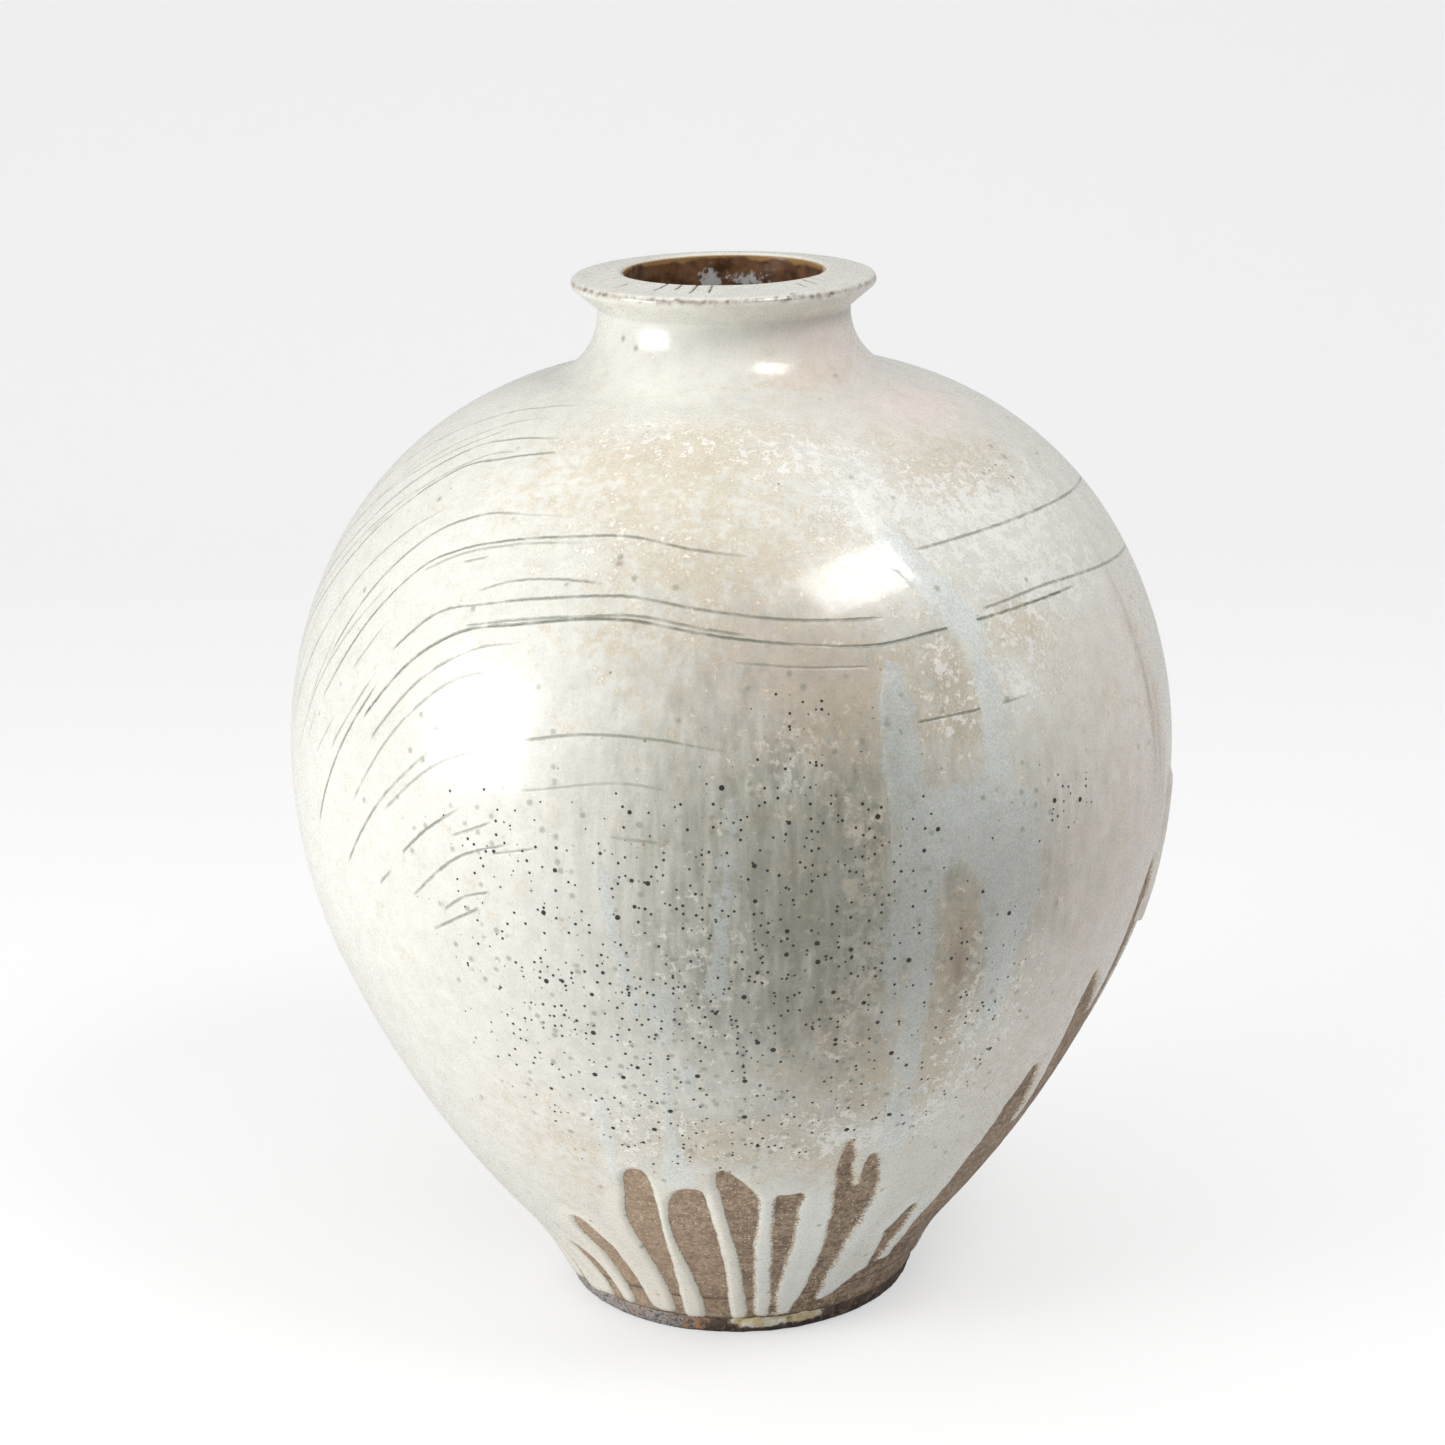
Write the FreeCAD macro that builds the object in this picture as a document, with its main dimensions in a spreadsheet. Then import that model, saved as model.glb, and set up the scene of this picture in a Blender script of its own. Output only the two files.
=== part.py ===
import FreeCAD, Part
import math
import os
import Sketcher

# Large stoneware jar, thrown in sections and luted together, then glazed.
# +Z is up, the origin is the centre of the foot's resting plane, -Y is the front.
# The outline is a row of arcs that meet without a corner. Each arc is a radius
# and a turn, so the inner wall and every glaze coat are the same row moved
# in or out by a thickness.

# Driving dimensions, in millimetres and degrees
SIZES = {
    # clay outline from the widest point up to the rim
    "belly_radius": 191.6,
    "belly_height": 252.7,
    "upper_belly_arc": 182.8,
    "upper_belly_turn": 30.6,
    "shoulder_arc": 145.8,
    "shoulder_turn": 45.5,
    "neck_root_arc": 30.2,
    "neck_root_turn": 76.1,
    "neck_length": 0.6,
    "rim_root_arc": 4.2,
    "rim_root_turn": 50.0,
    "rim_bevel": 11.8,
    "rim_edge_arc": 1.4,
    "rim_edge_turn": 133.0,
    # clay outline from the widest point down to the foot
    "lower_belly_arc": 229.0,
    "lower_belly_turn": 22.3,
    "lower_wall_arc": 457.3,
    "lower_wall_turn": 17.6,
    "foot_sweep_arc": 157.9,
    "foot_sweep_turn": 18.4,
    "foot_radius": 74.4,
    # thicknesses
    "wall": 9.2,
    "coat": 1.2,
    "liner": 0.9,
    "ash": 0.9,
    # heights of the luted joints and of the floor
    "foot_height": 9.0,
    "floor_height": 21.0,
    "neck_joint_height": 427.0,
    "rim_joint_height": 444.0,
    "foot_inner_radius": 60.0,
    # slip in the joints, with a ridge that keys into the lower piece
    "slip": 1.0,
    "key_half": 2.0,
    "key_depth": 2.0,
    "foot_key_radius": 70.0,
    "floor_key_radius": 77.0,
    "neck_key_radius": 51.8,
    "rim_key_radius": 48.4,
    # levels where one coat ends and the next begins
    "wash_bottom": 1.0,
    "wash_top": 7.0,
    "rim_line": 455.4,
    "liner_top": 458.6,
    # cutting tools reach past the jar
    "reach": 230.0,
    "crown_height": 480.0,
    "window_start": 76.0,
    "run_start": 10.0,
    # hardened drop of glaze on the right side
    "bead_angle": 76.5,
    "bead_radius_out": 183.4,
    "bead_height": 185.0,
    "bead_half_tall": 9.0,
    "bead_half_wide": 4.5,
    "bead_half_thick": 3.6,
}

# Bare clay windows between the glaze streams above the foot, each as its
# azimuth, the height where its round top starts, its width there, its width at
# the foot and the sideways lean of its foot end. The first thirteen are seen
# from the front, the others carry the same rhythm round the back.
WINDOWS = (
    (-46.3, 40.5, 6.0, 4.5, 5.0),
    (-35.0, 64.0, 8.0, 8.0, 4.0),
    (-18.8, 102.5, 13.0, 4.0, 0.0),
    (-8.9, 91.0, 18.0, 12.0, 2.0),
    (0.2, 102.0, 14.0, 2.5, 4.0),
    (8.7, 89.0, 8.5, 2.0, 1.0),
    (17.6, 119.0, 4.5, 8.0, 4.0),
    (22.6, 108.0, 6.0, 8.0, -2.0),
    (37.5, 66.0, 6.0, 3.0, 2.0),
    (41.0, 18.0, 34.0, 34.0, 0.0),
    (50.8, 128.0, 13.0, 26.0, -2.0),
    (60.0, 166.0, 14.0, 24.0, -2.0),
    (73.0, 200.0, 18.0, 22.0, 0.0),
    (92.0, 118.0, 12.0, 14.0, 0.0),
    (107.0, 84.0, 9.0, 8.0, 2.0),
    (121.0, 108.0, 15.0, 11.0, 0.0),
    (136.0, 74.0, 8.0, 7.0, -2.0),
    (151.0, 98.0, 13.0, 8.0, 1.0),
    (165.0, 62.0, 7.0, 6.0, 0.0),
    (179.0, 90.0, 14.0, 9.0, 2.0),
    (-166.0, 78.0, 9.0, 8.0, 0.0),
    (-150.0, 106.0, 12.0, 7.0, -2.0),
    (-134.0, 68.0, 8.0, 7.0, 1.0),
    (-117.0, 92.0, 13.0, 8.0, 0.0),
    (-99.0, 57.0, 7.0, 6.0, -1.0),
    (-76.0, 49.0, 8.0, 6.0, 0.0),
    (-61.0, 32.0, 5.0, 4.0, 3.0),
)

# Thick ash glaze that ran down over the coat, as seen from the front: each
# station is a height, the stream's middle and its width
RUNS = {
    "ash_run_front": ((322, 64, 12), (293, 66, 17), (255, 64, 15), (216, 66, 14),
                      (168, 68, 9), (120, 69.5, 6)),
    "ash_run_shoulder": ((409, 34, 15), (388, 52, 16), (371, 73, 13), (342, 89, 12),
                         (315, 101, 10), (272, 104, 8)),
    "ash_run_side": ((258, 96, 18), (225, 91, 22), (192, 87, 18), (150, 82, 8)),
}

BULGING = 1
HOLLOW = -1
UP = 1
DOWN = -1

# The outline as steps: an arc's radius and turn with its bend, or a straight length
BODY_STEPS = (
    ("upper_belly_arc", "upper_belly_turn", BULGING),
    ("shoulder_arc", "shoulder_turn", BULGING),
    ("neck_root_arc", "neck_root_turn", HOLLOW),
)
RIM_STEPS = (
    ("neck_length", None, None),
    ("rim_root_arc", "rim_root_turn", HOLLOW),
    ("rim_bevel", None, None),
    ("rim_edge_arc", "rim_edge_turn", BULGING),
)
WALL_STEPS = (
    ("lower_belly_arc", "lower_belly_turn", BULGING),
    ("lower_wall_arc", "lower_wall_turn", BULGING),
)
FOOT_STEPS = (("foot_sweep_arc", "foot_sweep_turn", HOLLOW),)

# How far a round end bulges, as a share of the stream's width: just over a half circle's
ROUND_END = 0.56

START, END, CENTRE = 1, 2, 3
ORIGIN, UPRIGHT = -1, -2
CUBIC_CENTIMETRE = 1000.0

doc = FreeCAD.newDocument("moon_jar")
sheet = doc.addObject("Spreadsheet::Sheet", "Sizes")


def fill_sheet(sizes):
    """Writes each size into the sheet, with its name beside it as alias."""
    for row, (name, number) in enumerate(sizes.items(), start=1):
        sheet.set(f"A{row}", name)
        sheet.set(f"B{row}", str(number))
        sheet.setAlias(f"B{row}", name)
    doc.recompute()


def station_names(prefix, count):
    """Sheet names of a stream's stations: height, middle and width of each."""
    return [tuple(f"{prefix}_{part}_{number}" for part in ("height", "middle", "width"))
            for number in range(1, count + 1)]


def stream_sizes():
    """Sizes of every window and run, by the name they have in the sheet."""
    sizes = {}
    for number, (angle, top, width, foot_width, lean) in enumerate(WINDOWS, start=1):
        prefix = f"window_{number}"
        sizes[f"{prefix}_angle"] = angle
        rows = ((top, 0, width), (0, lean, foot_width))
        for names, row in zip(station_names(prefix, len(rows)), rows):
            sizes.update(zip(names, row))
    for prefix, rows in RUNS.items():
        for names, row in zip(station_names(prefix, len(rows)), rows):
            sizes.update(zip(names, row))
    return sizes


def cell(name):
    """Expression that reads one size from the sheet."""
    return f"Sizes.{name}"


def number_of(expression):
    """Present value of an expression."""
    return float(sheet.evalExpression(expression.replace("Sizes.", "")))


def bind(sketch, kind, where, expression):
    """Adds a dimension to a sketch and ties it to an expression."""
    amount = number_of(expression)
    unit = ""
    if kind == "Angle":
        amount = math.radians(amount)
        unit = " * 1 deg"
    item = sketch.addConstraint(Sketcher.Constraint(kind, *where, amount))
    sketch.setExpression(f"Constraints[{item}]", f"({expression}){unit}")


def pin(sketch, item, end, across, height):
    """Fixes one point of a sketch at a distance from the axis and a height."""
    bind(sketch, "DistanceX", (ORIGIN, START, item, end), across)
    bind(sketch, "DistanceY", (ORIGIN, START, item, end), height)


def new_sketch(name, forward=None):
    """New body with an upright sketch, at the axis or set forward of it."""
    body = doc.addObject("PartDesign::Body", name)
    sketch = body.newObject("Sketcher::SketchObject", f"{name}_outline")
    plane = [item for item in body.Origin.OriginFeatures if item.Role == "XZ_Plane"][0]
    sketch.AttachmentSupport = [(plane, "")]
    sketch.MapMode = "FlatFace"
    if forward:
        sketch.setExpression("AttachmentOffset.Base.z", forward)
    doc.recompute()
    return body, sketch


def revolve(body, sketch):
    """Turns a sketch once round the jar's axis."""
    turned = body.newObject("PartDesign::Revolution", f"{body.Name}_turned")
    turned.Profile = sketch
    turned.ReferenceAxis = (sketch, ["V_Axis"])
    turned.Angle = 360
    return body


def add_line(sketch, start, end):
    """Straight edge between two points."""
    return sketch.addGeometry(Part.LineSegment(start, end), False)


def add_arc(sketch, centre, radius, start, end, turns_left):
    """Arc between two points. Returns it with its near and far end, as the path runs."""
    circle = Part.Circle(centre, FreeCAD.Vector(0, 0, 1), radius)
    ends = (start, end) if turns_left else (end, start)
    first, last = [math.atan2(point.y - centre.y, point.x - centre.x) for point in ends]
    if last < first:
        last += 2 * math.pi
    arc = sketch.addGeometry(Part.ArcOfCircle(circle, first, last), False)
    return (arc, START, END) if turns_left else (arc, END, START)


def add_wall(sketch, start, going, steps, offset):
    """Adds the steps of an outline one after another, each tangent to the last.

    Returns the first piece, and the last piece with its far end, place and heading.
    """
    heading = going * math.pi / 2
    point = start
    first = None
    last = None
    for size, turn, bend in steps:
        if turn is None:
            run = FreeCAD.Vector(math.cos(heading), math.sin(heading), 0)
            target = point + run * number_of(cell(size))
            piece, near, far = add_line(sketch, point, target), START, END
            bind(sketch, "Distance", (piece,), cell(size))
        else:
            side = bend * going
            length = f"{cell(size)} + {bend} * ({offset})"
            radius = number_of(length)
            inward = FreeCAD.Vector(-math.sin(heading), math.cos(heading), 0) * side
            centre = point + inward * radius
            heading += side * math.radians(number_of(cell(turn)))
            inward = FreeCAD.Vector(-math.sin(heading), math.cos(heading), 0) * side
            target = centre - inward * radius
            piece, near, far = add_arc(sketch, centre, radius, point, target, side > 0)
            bind(sketch, "Radius", (piece,), length)
            bind(sketch, "Angle", (piece,), cell(turn))
        if last:
            sketch.addConstraint(Sketcher.Constraint("Tangent", last[0], last[1], piece, near))
        else:
            first = (piece, near)
        last = (piece, far)
        point = target
    return first, last, point, heading


def join(sketch, one, other):
    """Makes two edge ends meet."""
    sketch.addConstraint(Sketcher.Constraint("Coincident", *one, *other))


def start_at_belly(sketch, offset, upper_steps, lower_steps):
    """Lays the wall up and down from the widest point, where it stands upright."""
    radius = f"{cell('belly_radius')} + {offset}"
    height = cell("belly_height")
    belly = FreeCAD.Vector(number_of(radius), number_of(height), 0)
    rising, top, crest, heading = add_wall(sketch, belly, UP, upper_steps, offset)
    falling, bottom, base, slope = add_wall(sketch, belly, DOWN, lower_steps, offset)
    pin(sketch, *rising, radius, height)
    bind(sketch, "DistanceY", (ORIGIN, START, rising[0], CENTRE), height)
    sketch.addConstraint(Sketcher.Constraint("Tangent", *rising, *falling))
    return (top, crest, heading), (bottom, base, slope)


def outside_form(name, offset):
    """Solid of the whole jar as seen from outside, its wall moved out by offset."""
    body, sketch = new_sketch(name)
    upper, lower = start_at_belly(sketch, offset, BODY_STEPS + RIM_STEPS, WALL_STEPS + FOOT_STEPS)
    top, crest, heading = upper
    bottom, base, _ = lower
    rise = -crest.x * math.tan(heading)
    peak = FreeCAD.Vector(0, crest.y + rise, 0)
    centre = FreeCAD.Vector(0, 0, 0)
    foot = f"{cell('foot_radius')} + {offset}"
    toe = FreeCAD.Vector(number_of(foot), 0, 0)
    crown = add_line(sketch, crest, peak)
    axis = add_line(sketch, peak, centre)
    sole = add_line(sketch, centre, toe)
    heel = add_line(sketch, toe, base)
    sketch.addConstraint(Sketcher.Constraint("Tangent", *top, crown, START))
    sketch.addConstraint(Sketcher.Constraint("PointOnObject", crown, END, UPRIGHT))
    join(sketch, (crown, END), (axis, START))
    join(sketch, (axis, END), (sole, START))
    join(sketch, (axis, END), (ORIGIN, START))
    join(sketch, (sole, END), (heel, START))
    join(sketch, (heel, END), bottom)
    sketch.addConstraint(Sketcher.Constraint("PointOnObject", sole, END, ORIGIN))
    bind(sketch, "DistanceX", (ORIGIN, START, sole, END), foot)
    return revolve(body, sketch)


def inside_form(name, offset, floor):
    """Solid of the space inside the jar: flat floor, wall moved in, straight bore."""
    body, sketch = new_sketch(name)
    upper, lower = start_at_belly(sketch, offset, BODY_STEPS, WALL_STEPS)
    top, crest, _ = upper
    bottom, base, slope = lower
    ceiling = cell("crown_height")
    drop = (number_of(floor) - base.y) / math.sin(slope)
    corner = base + FreeCAD.Vector(math.cos(slope), math.sin(slope), 0) * drop
    mouth = FreeCAD.Vector(crest.x, number_of(ceiling), 0)
    lid = FreeCAD.Vector(0, mouth.y, 0)
    middle = FreeCAD.Vector(0, corner.y, 0)
    bore = add_line(sketch, crest, mouth)
    cover = add_line(sketch, mouth, lid)
    axis = add_line(sketch, lid, middle)
    ground = add_line(sketch, middle, corner)
    bank = add_line(sketch, corner, base)
    sketch.addConstraint(Sketcher.Constraint("Tangent", *top, bore, START))
    sketch.addConstraint(Sketcher.Constraint("Tangent", bank, END, *bottom))
    join(sketch, (bore, END), (cover, START))
    join(sketch, (cover, END), (axis, START))
    join(sketch, (axis, END), (ground, START))
    join(sketch, (ground, END), (bank, START))
    sketch.addConstraint(Sketcher.Constraint("Horizontal", cover))
    sketch.addConstraint(Sketcher.Constraint("Horizontal", ground))
    sketch.addConstraint(Sketcher.Constraint("PointOnObject", axis, START, UPRIGHT))
    sketch.addConstraint(Sketcher.Constraint("PointOnObject", axis, END, UPRIGHT))
    bind(sketch, "DistanceY", (ORIGIN, START, bore, END), ceiling)
    bind(sketch, "DistanceY", (ORIGIN, START, ground, END), floor)
    return revolve(body, sketch)


def pinned_outline(sketch, corners):
    """Closed outline through corners given as expressions.

    Each corner is its distance across, its height, and the radius of the arc that
    leaves it, or None for a straight edge. Corners run clockwise, arcs bulge out.
    """
    points = [FreeCAD.Vector(number_of(across), number_of(height), 0)
              for across, height, _ in corners]
    ends = []
    for index, (_, _, bend) in enumerate(corners):
        here = points[index]
        there = points[(index + 1) % len(points)]
        if bend is None:
            ends.append((add_line(sketch, here, there), START, END))
            continue
        radius = number_of(bend)
        chord = there - here
        depth = math.sqrt(radius ** 2 - (chord.Length / 2) ** 2)
        right = FreeCAD.Vector(chord.y, -chord.x, 0).normalize()
        centre = (here + there) * 0.5 + right * depth
        ends.append(add_arc(sketch, centre, radius, here, there, False))
        bind(sketch, "Radius", (ends[-1][0],), bend)
    for index, (across, height, _) in enumerate(corners):
        piece, near, _ = ends[index]
        before, _, far = ends[index - 1]
        join(sketch, (before, far), (piece, near))
        pin(sketch, piece, near, across, height)


def seam(height, radius):
    """The bottom of a joint's slip, from inside out: flat with a ridge pointing down."""
    return [(f"{radius} - {cell('key_half')}", height),
            (radius, f"{height} - {cell('key_depth')}"),
            (f"{radius} + {cell('key_half')}", height)]


def region(name, inner, lower, upper):
    """Turned cutting tool between two levels, each a joint or a plain height.

    A level is its height, the radius of its key (None when flat) and the thickness
    of slip to stand above.
    """
    def level(height, key, lift):
        raised = f"{height} + {lift}"
        ridge = seam(raised, key) if key else []
        return [(inner, raised)] + ridge + [(cell("reach"), raised)]

    outline = level(*upper) + level(*lower)[::-1]
    body, sketch = new_sketch(name)
    pinned_outline(sketch, [(across, height, None) for across, height in outline])
    return revolve(body, sketch)


def stream_body(name, stations, round_foot, start, angle=None):
    """Upright prism in the outline of a stream of glaze, pointing away from the axis."""
    body, sketch = new_sketch(name, start)
    rows = [tuple(cell(part) for part in names) for names in stations]
    left = [(f"{middle} - {width} / 2", height) for height, middle, width in rows]
    right = [(f"{middle} + {width} / 2", height) for height, middle, width in rows]
    corners = [(across, height, None) for across, height in left[::-1] + right]
    top = len(rows) - 1
    corners[top] = (*corners[top][:2], f"{rows[0][2]} * {ROUND_END}")
    if round_foot:
        corners[-1] = (*corners[-1][:2], f"{rows[-1][2]} * {ROUND_END}")
    pinned_outline(sketch, corners)
    pad = body.newObject("PartDesign::Pad", f"{name}_pad")
    pad.Profile = sketch
    pad.setExpression("Length", cell("reach"))
    if angle:
        body.Placement = FreeCAD.Placement(FreeCAD.Vector(), FreeCAD.Rotation(0, 0, 0))
        body.setExpression("Placement.Rotation.Axis.z", "1")
        body.setExpression("Placement.Rotation.Angle", f"{cell(angle)} * 1 deg")
    return body


def disc(name, bottom, top):
    """Round cutting tool between two plain heights."""
    tool = doc.addObject("Part::Cylinder", name)
    tool.setExpression("Radius", cell("reach"))
    tool.setExpression("Height", f"{top} - {bottom}")
    tool.setExpression("Placement.Base.z", bottom)
    return tool


def cut(name, base, tool):
    """One solid less another."""
    result = doc.addObject("Part::Cut", name)
    result.Base = base
    result.Tool = tool
    return result


def common(name, base, tool):
    """The part of a solid that lies inside another."""
    result = doc.addObject("Part::Common", name)
    result.Base = base
    result.Tool = tool
    return result


def clay_parts(clay, cavity):
    """The thrown sections and the slip that lutes each to the one below."""
    wall = cut("clay_wall", clay, cavity)
    belly_key = f"{cell('belly_radius')} - {cell('wall')} / 2"
    slip = cell("slip")
    joints = {
        "foot": (cell("foot_height"), cell("foot_key_radius")),
        "floor": (cell("floor_height"), cell("floor_key_radius")),
        "belly": (cell("belly_height"), belly_key),
        "neck": (cell("neck_joint_height"), cell("neck_key_radius")),
        "rim": (cell("rim_joint_height"), cell("rim_key_radius")),
    }
    sections = (
        ("foot_ring", None, "foot"),
        ("base_disc", "foot", "floor"),
        ("lower_bowl", "floor", "belly"),
        ("upper_bowl", "belly", "neck"),
        ("neck_collar", "neck", "rim"),
        ("rim_coil", "rim", None),
    )
    pieces = []
    for name, below, above in sections:
        inner = cell("foot_inner_radius") if name == "foot_ring" else "0"
        lower = (*joints[below], slip) if below else ("0", None, "0")
        upper = (*joints[above], "0") if above else (cell("crown_height"), None, "0")
        tool = region(f"{name}_region", inner, lower, upper)
        pieces.append(common(name, wall, tool))
    for name, joint in joints.items():
        inner = cell("foot_inner_radius") if name == "foot" else "0"
        tool = region(f"{name}_joint_region", inner, (*joint, "0"), (*joint, slip))
        pieces.append(common(f"{name}_joint_slip", wall, tool))
    return pieces


def coat_parts(clay, cavity, glazed):
    """The glaze coats outside, on the rim and inside, and the dark wash on the foot."""
    shell = cut("coat_shell", cut("coat_blank", glazed, clay), cavity)
    body_level = disc("body_level", cell("wash_top"), cell("rim_line"))
    rim_level = disc("rim_level", cell("rim_line"), cell("crown_height"))
    wash_level = disc("wash_level", cell("wash_bottom"), cell("wash_top"))
    windows = doc.addObject("Part::MultiFuse", "bare_windows")
    windows.Shapes = [
        stream_body(f"window_{number}", station_names(f"window_{number}", 2), False,
                    cell("window_start"), f"window_{number}_angle")
        for number in range(1, len(WINDOWS) + 1)]
    outer = cut("outer_glaze", common("body_coat", shell, body_level), windows)
    floor = f"{cell('floor_height')} + {cell('liner')}"
    lined = inside_form("lined_space", f"-({cell('wall')} + {cell('liner')})", floor)
    liner_level = disc("liner_level", "0", cell("liner_top"))
    liner = common("inner_glaze", cut("liner_blank", cavity, lined), liner_level)
    rim = common("rim_glaze", shell, rim_level)
    wash = common("foot_wash", shell, wash_level)
    return [outer, rim, liner, wash]


def ash_parts(glazed):
    """Thick ash runs that stand proud of the coat, and one hardened drop."""
    thick = outside_form("ash_form", f"{cell('coat')} + {cell('ash')}")
    layer = cut("ash_layer", thick, glazed)
    pieces = []
    for name, rows in RUNS.items():
        tool = stream_body(f"{name}_stream", station_names(name, len(rows)), True,
                           cell("run_start"))
        pieces.append(common(name, layer, tool))
    drop = doc.addObject("Part::Ellipsoid", "drop_form")
    drop.setExpression("Radius1", cell("bead_half_tall"))
    drop.setExpression("Radius2", cell("bead_half_thick"))
    drop.setExpression("Radius3", cell("bead_half_wide"))
    drop.setExpression("Placement.Rotation.Axis.z", "1")
    drop.setExpression("Placement.Rotation.Angle", f"({cell('bead_angle')} - 90) * 1 deg")
    drop.setExpression("Placement.Base.x",
                       f"{cell('bead_radius_out')} * sin({cell('bead_angle')} * 1 deg)")
    drop.setExpression("Placement.Base.y",
                       f"-{cell('bead_radius_out')} * cos({cell('bead_angle')} * 1 deg)")
    drop.setExpression("Placement.Base.z", cell("bead_height"))
    pieces.append(cut("glaze_drop", drop, glazed))
    return pieces


def check(pieces):
    """Stops if any object failed or any piece isn't one closed solid."""
    for item in doc.Objects:
        if "Invalid" in item.State or "Error" in item.State:
            raise RuntimeError(f"{item.Name} failed: {item.State}")
    for piece in pieces:
        shape = piece.Shape
        if shape.isNull() or not shape.isValid() or len(shape.Solids) != 1:
            raise RuntimeError(f"{piece.Label} isn't one valid solid: {len(shape.Solids)}")


def main():
    """Builds every piece, checks them and writes one file for each."""
    fill_sheet({**SIZES, **stream_sizes()})
    clay = outside_form("clay_form", "0")
    glazed = outside_form("glazed_form", cell("coat"))
    cavity = inside_form("cavity", f"-{cell('wall')}", cell("floor_height"))
    pieces = clay_parts(clay, cavity) + coat_parts(clay, cavity, glazed) + ash_parts(glazed)
    doc.recompute()
    check(pieces)
    os.makedirs("parts", exist_ok=True)
    for piece in pieces:
        piece.Label = piece.Name
        piece.Shape.exportStep(f"parts/{piece.Label}.step")
        print(f"{piece.Label}: volume {piece.Shape.Volume / CUBIC_CENTIMETRE:.2f} cm3")


main()
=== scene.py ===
"""Looks of a large stoneware moon jar: thrown clay, comb marks, ash glaze, glaze runs, rim and foot.

Places on the wall are given as an azimuth in degrees, 0 at the front and growing to the right,
and a height in millimetres or a length along the outline in metres. Everything is in the frame
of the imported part.
"""

import logging
import math
from dataclasses import dataclass
from enum import Enum

import bpy
import numpy as np
from mathutils import Matrix


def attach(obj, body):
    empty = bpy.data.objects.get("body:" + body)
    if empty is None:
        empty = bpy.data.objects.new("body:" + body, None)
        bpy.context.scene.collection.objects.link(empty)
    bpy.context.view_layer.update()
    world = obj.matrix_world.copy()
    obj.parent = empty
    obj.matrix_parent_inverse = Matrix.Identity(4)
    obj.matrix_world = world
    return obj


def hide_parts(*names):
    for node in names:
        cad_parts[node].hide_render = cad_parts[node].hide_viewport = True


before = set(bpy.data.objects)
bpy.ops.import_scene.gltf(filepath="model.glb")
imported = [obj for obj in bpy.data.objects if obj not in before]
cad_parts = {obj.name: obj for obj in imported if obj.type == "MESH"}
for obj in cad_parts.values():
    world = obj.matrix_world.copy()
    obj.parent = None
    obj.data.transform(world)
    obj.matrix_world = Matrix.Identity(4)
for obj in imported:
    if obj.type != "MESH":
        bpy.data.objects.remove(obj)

LOG = logging.getLogger("moon_jar")

Array = np.ndarray
Colour = tuple[float, float, float]
Place = tuple[float, float]
Point = tuple[float, float, float]
Socket = bpy.types.NodeSocket
Finish = bpy.types.Material
Piece = bpy.types.Object

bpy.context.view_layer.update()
BODY = "root"
MM = 0.001
TURN = 360.0
FAR_MM = 12.0

# Height of the rim's outer edge, where the coat breaks off and the rim's glaze starts
RIM_LINE_MM = 455.4


class Slot(Enum):
    """Finishes of the record for the pieces, handed on but not given to them."""

    STONEWARE = "dark_stoneware"
    COAT = "cream_glaze"
    LINER = "liner_glaze"
    RUN = "ash_run_glaze"
    WASH = "foot_wash"


class Channel(Enum):
    """Numbers that a surface carries at its points, for its finish to read."""

    BARE = "bare_mm"
    ASH = "ash_mm"
    FLECK = "fleck"
    TAN = "tan"
    GREY = "grey"
    PINK = "pink"
    BROWN = "brown"
    PITS = "pits"
    NEAR_A = "comb_near_a"
    NEAR_B = "comb_near_b"
    MARK_A = "comb_mark_a"
    MARK_B = "comb_mark_b"


class Axis(Enum):
    """Axes of the frame, by their number."""

    ACROSS = 0
    DEEP = 1
    UP = 2


class Closure(Enum):
    """How a turned skin closes: back onto its first row, or to a point at both ends."""

    RING = "ring"
    POLES = "poles"


def srgb(red: float, green: float, blue: float) -> Colour:
    """Linear colour of a colour given the way a screen shows it, 0 to 255.

    Args:
        red: Red as shown.
        green: Green as shown.
        blue: Blue as shown.

    Returns:
        The linear colour, each part from 0 to 1.
    """
    parts = [part / 255.0 for part in (red, green, blue)]
    return tuple(p / 12.92 if p <= 0.04045 else ((p + 0.055) / 1.055) ** 2.4 for p in parts)


def opaque(grey: float) -> tuple[float, float, float, float]:
    """Solid grey of a strength."""
    return (grey, grey, grey, 1.0)


def ease(low: float, high: float, value: Array) -> Array:
    """Smooth step: 0 at low, 1 at high, level at both ends.

    Args:
        low: Where it starts to rise.
        high: Where it is full. Below low it turns the step round.
        value: What is stepped.

    Returns:
        Values from 0 to 1.
    """
    t = np.clip((value - low) / (high - low), 0.0, 1.0)
    return t * t * (3.0 - 2.0 * t)


def azimuth_gap(theta: Array, centre: Array) -> Array:
    """Shortest way round from one azimuth to another, in degrees, from -180 to 180."""
    return (theta - centre + TURN / 2) % TURN - TURN / 2


def about(theta: Array, centre: float, ends: float, full: float) -> Array:
    """1 within full degrees of an azimuth, eased to 0 at ends degrees from it."""
    return ease(ends, full, np.abs(azimuth_gap(theta, centre)))


def bell(away: Array, width: float) -> Array:
    """Bell curve: e to the minus square of the distance over the width."""
    return np.exp(-((away / width) ** 2))


def full_turn(columns: int) -> Array:
    """Azimuths of columns that stand evenly all the way round, from the back."""
    return np.arange(columns) * TURN / columns - TURN / 2


def turned(radius: Array, height: Array, theta: Array) -> Array:
    """Points at radii, heights and azimuths in degrees, with x, y and z on the last axis."""
    angle = np.radians(theta)
    return np.stack(np.broadcast_arrays(radius * np.sin(angle), -radius * np.cos(angle), height), -1)


def gone_along(line: Array) -> Array:
    """Length from a line's first point to each of its points, rows of two numbers."""
    return np.r_[0, np.cumsum(np.hypot(*np.diff(line, axis=0).T))]


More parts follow.
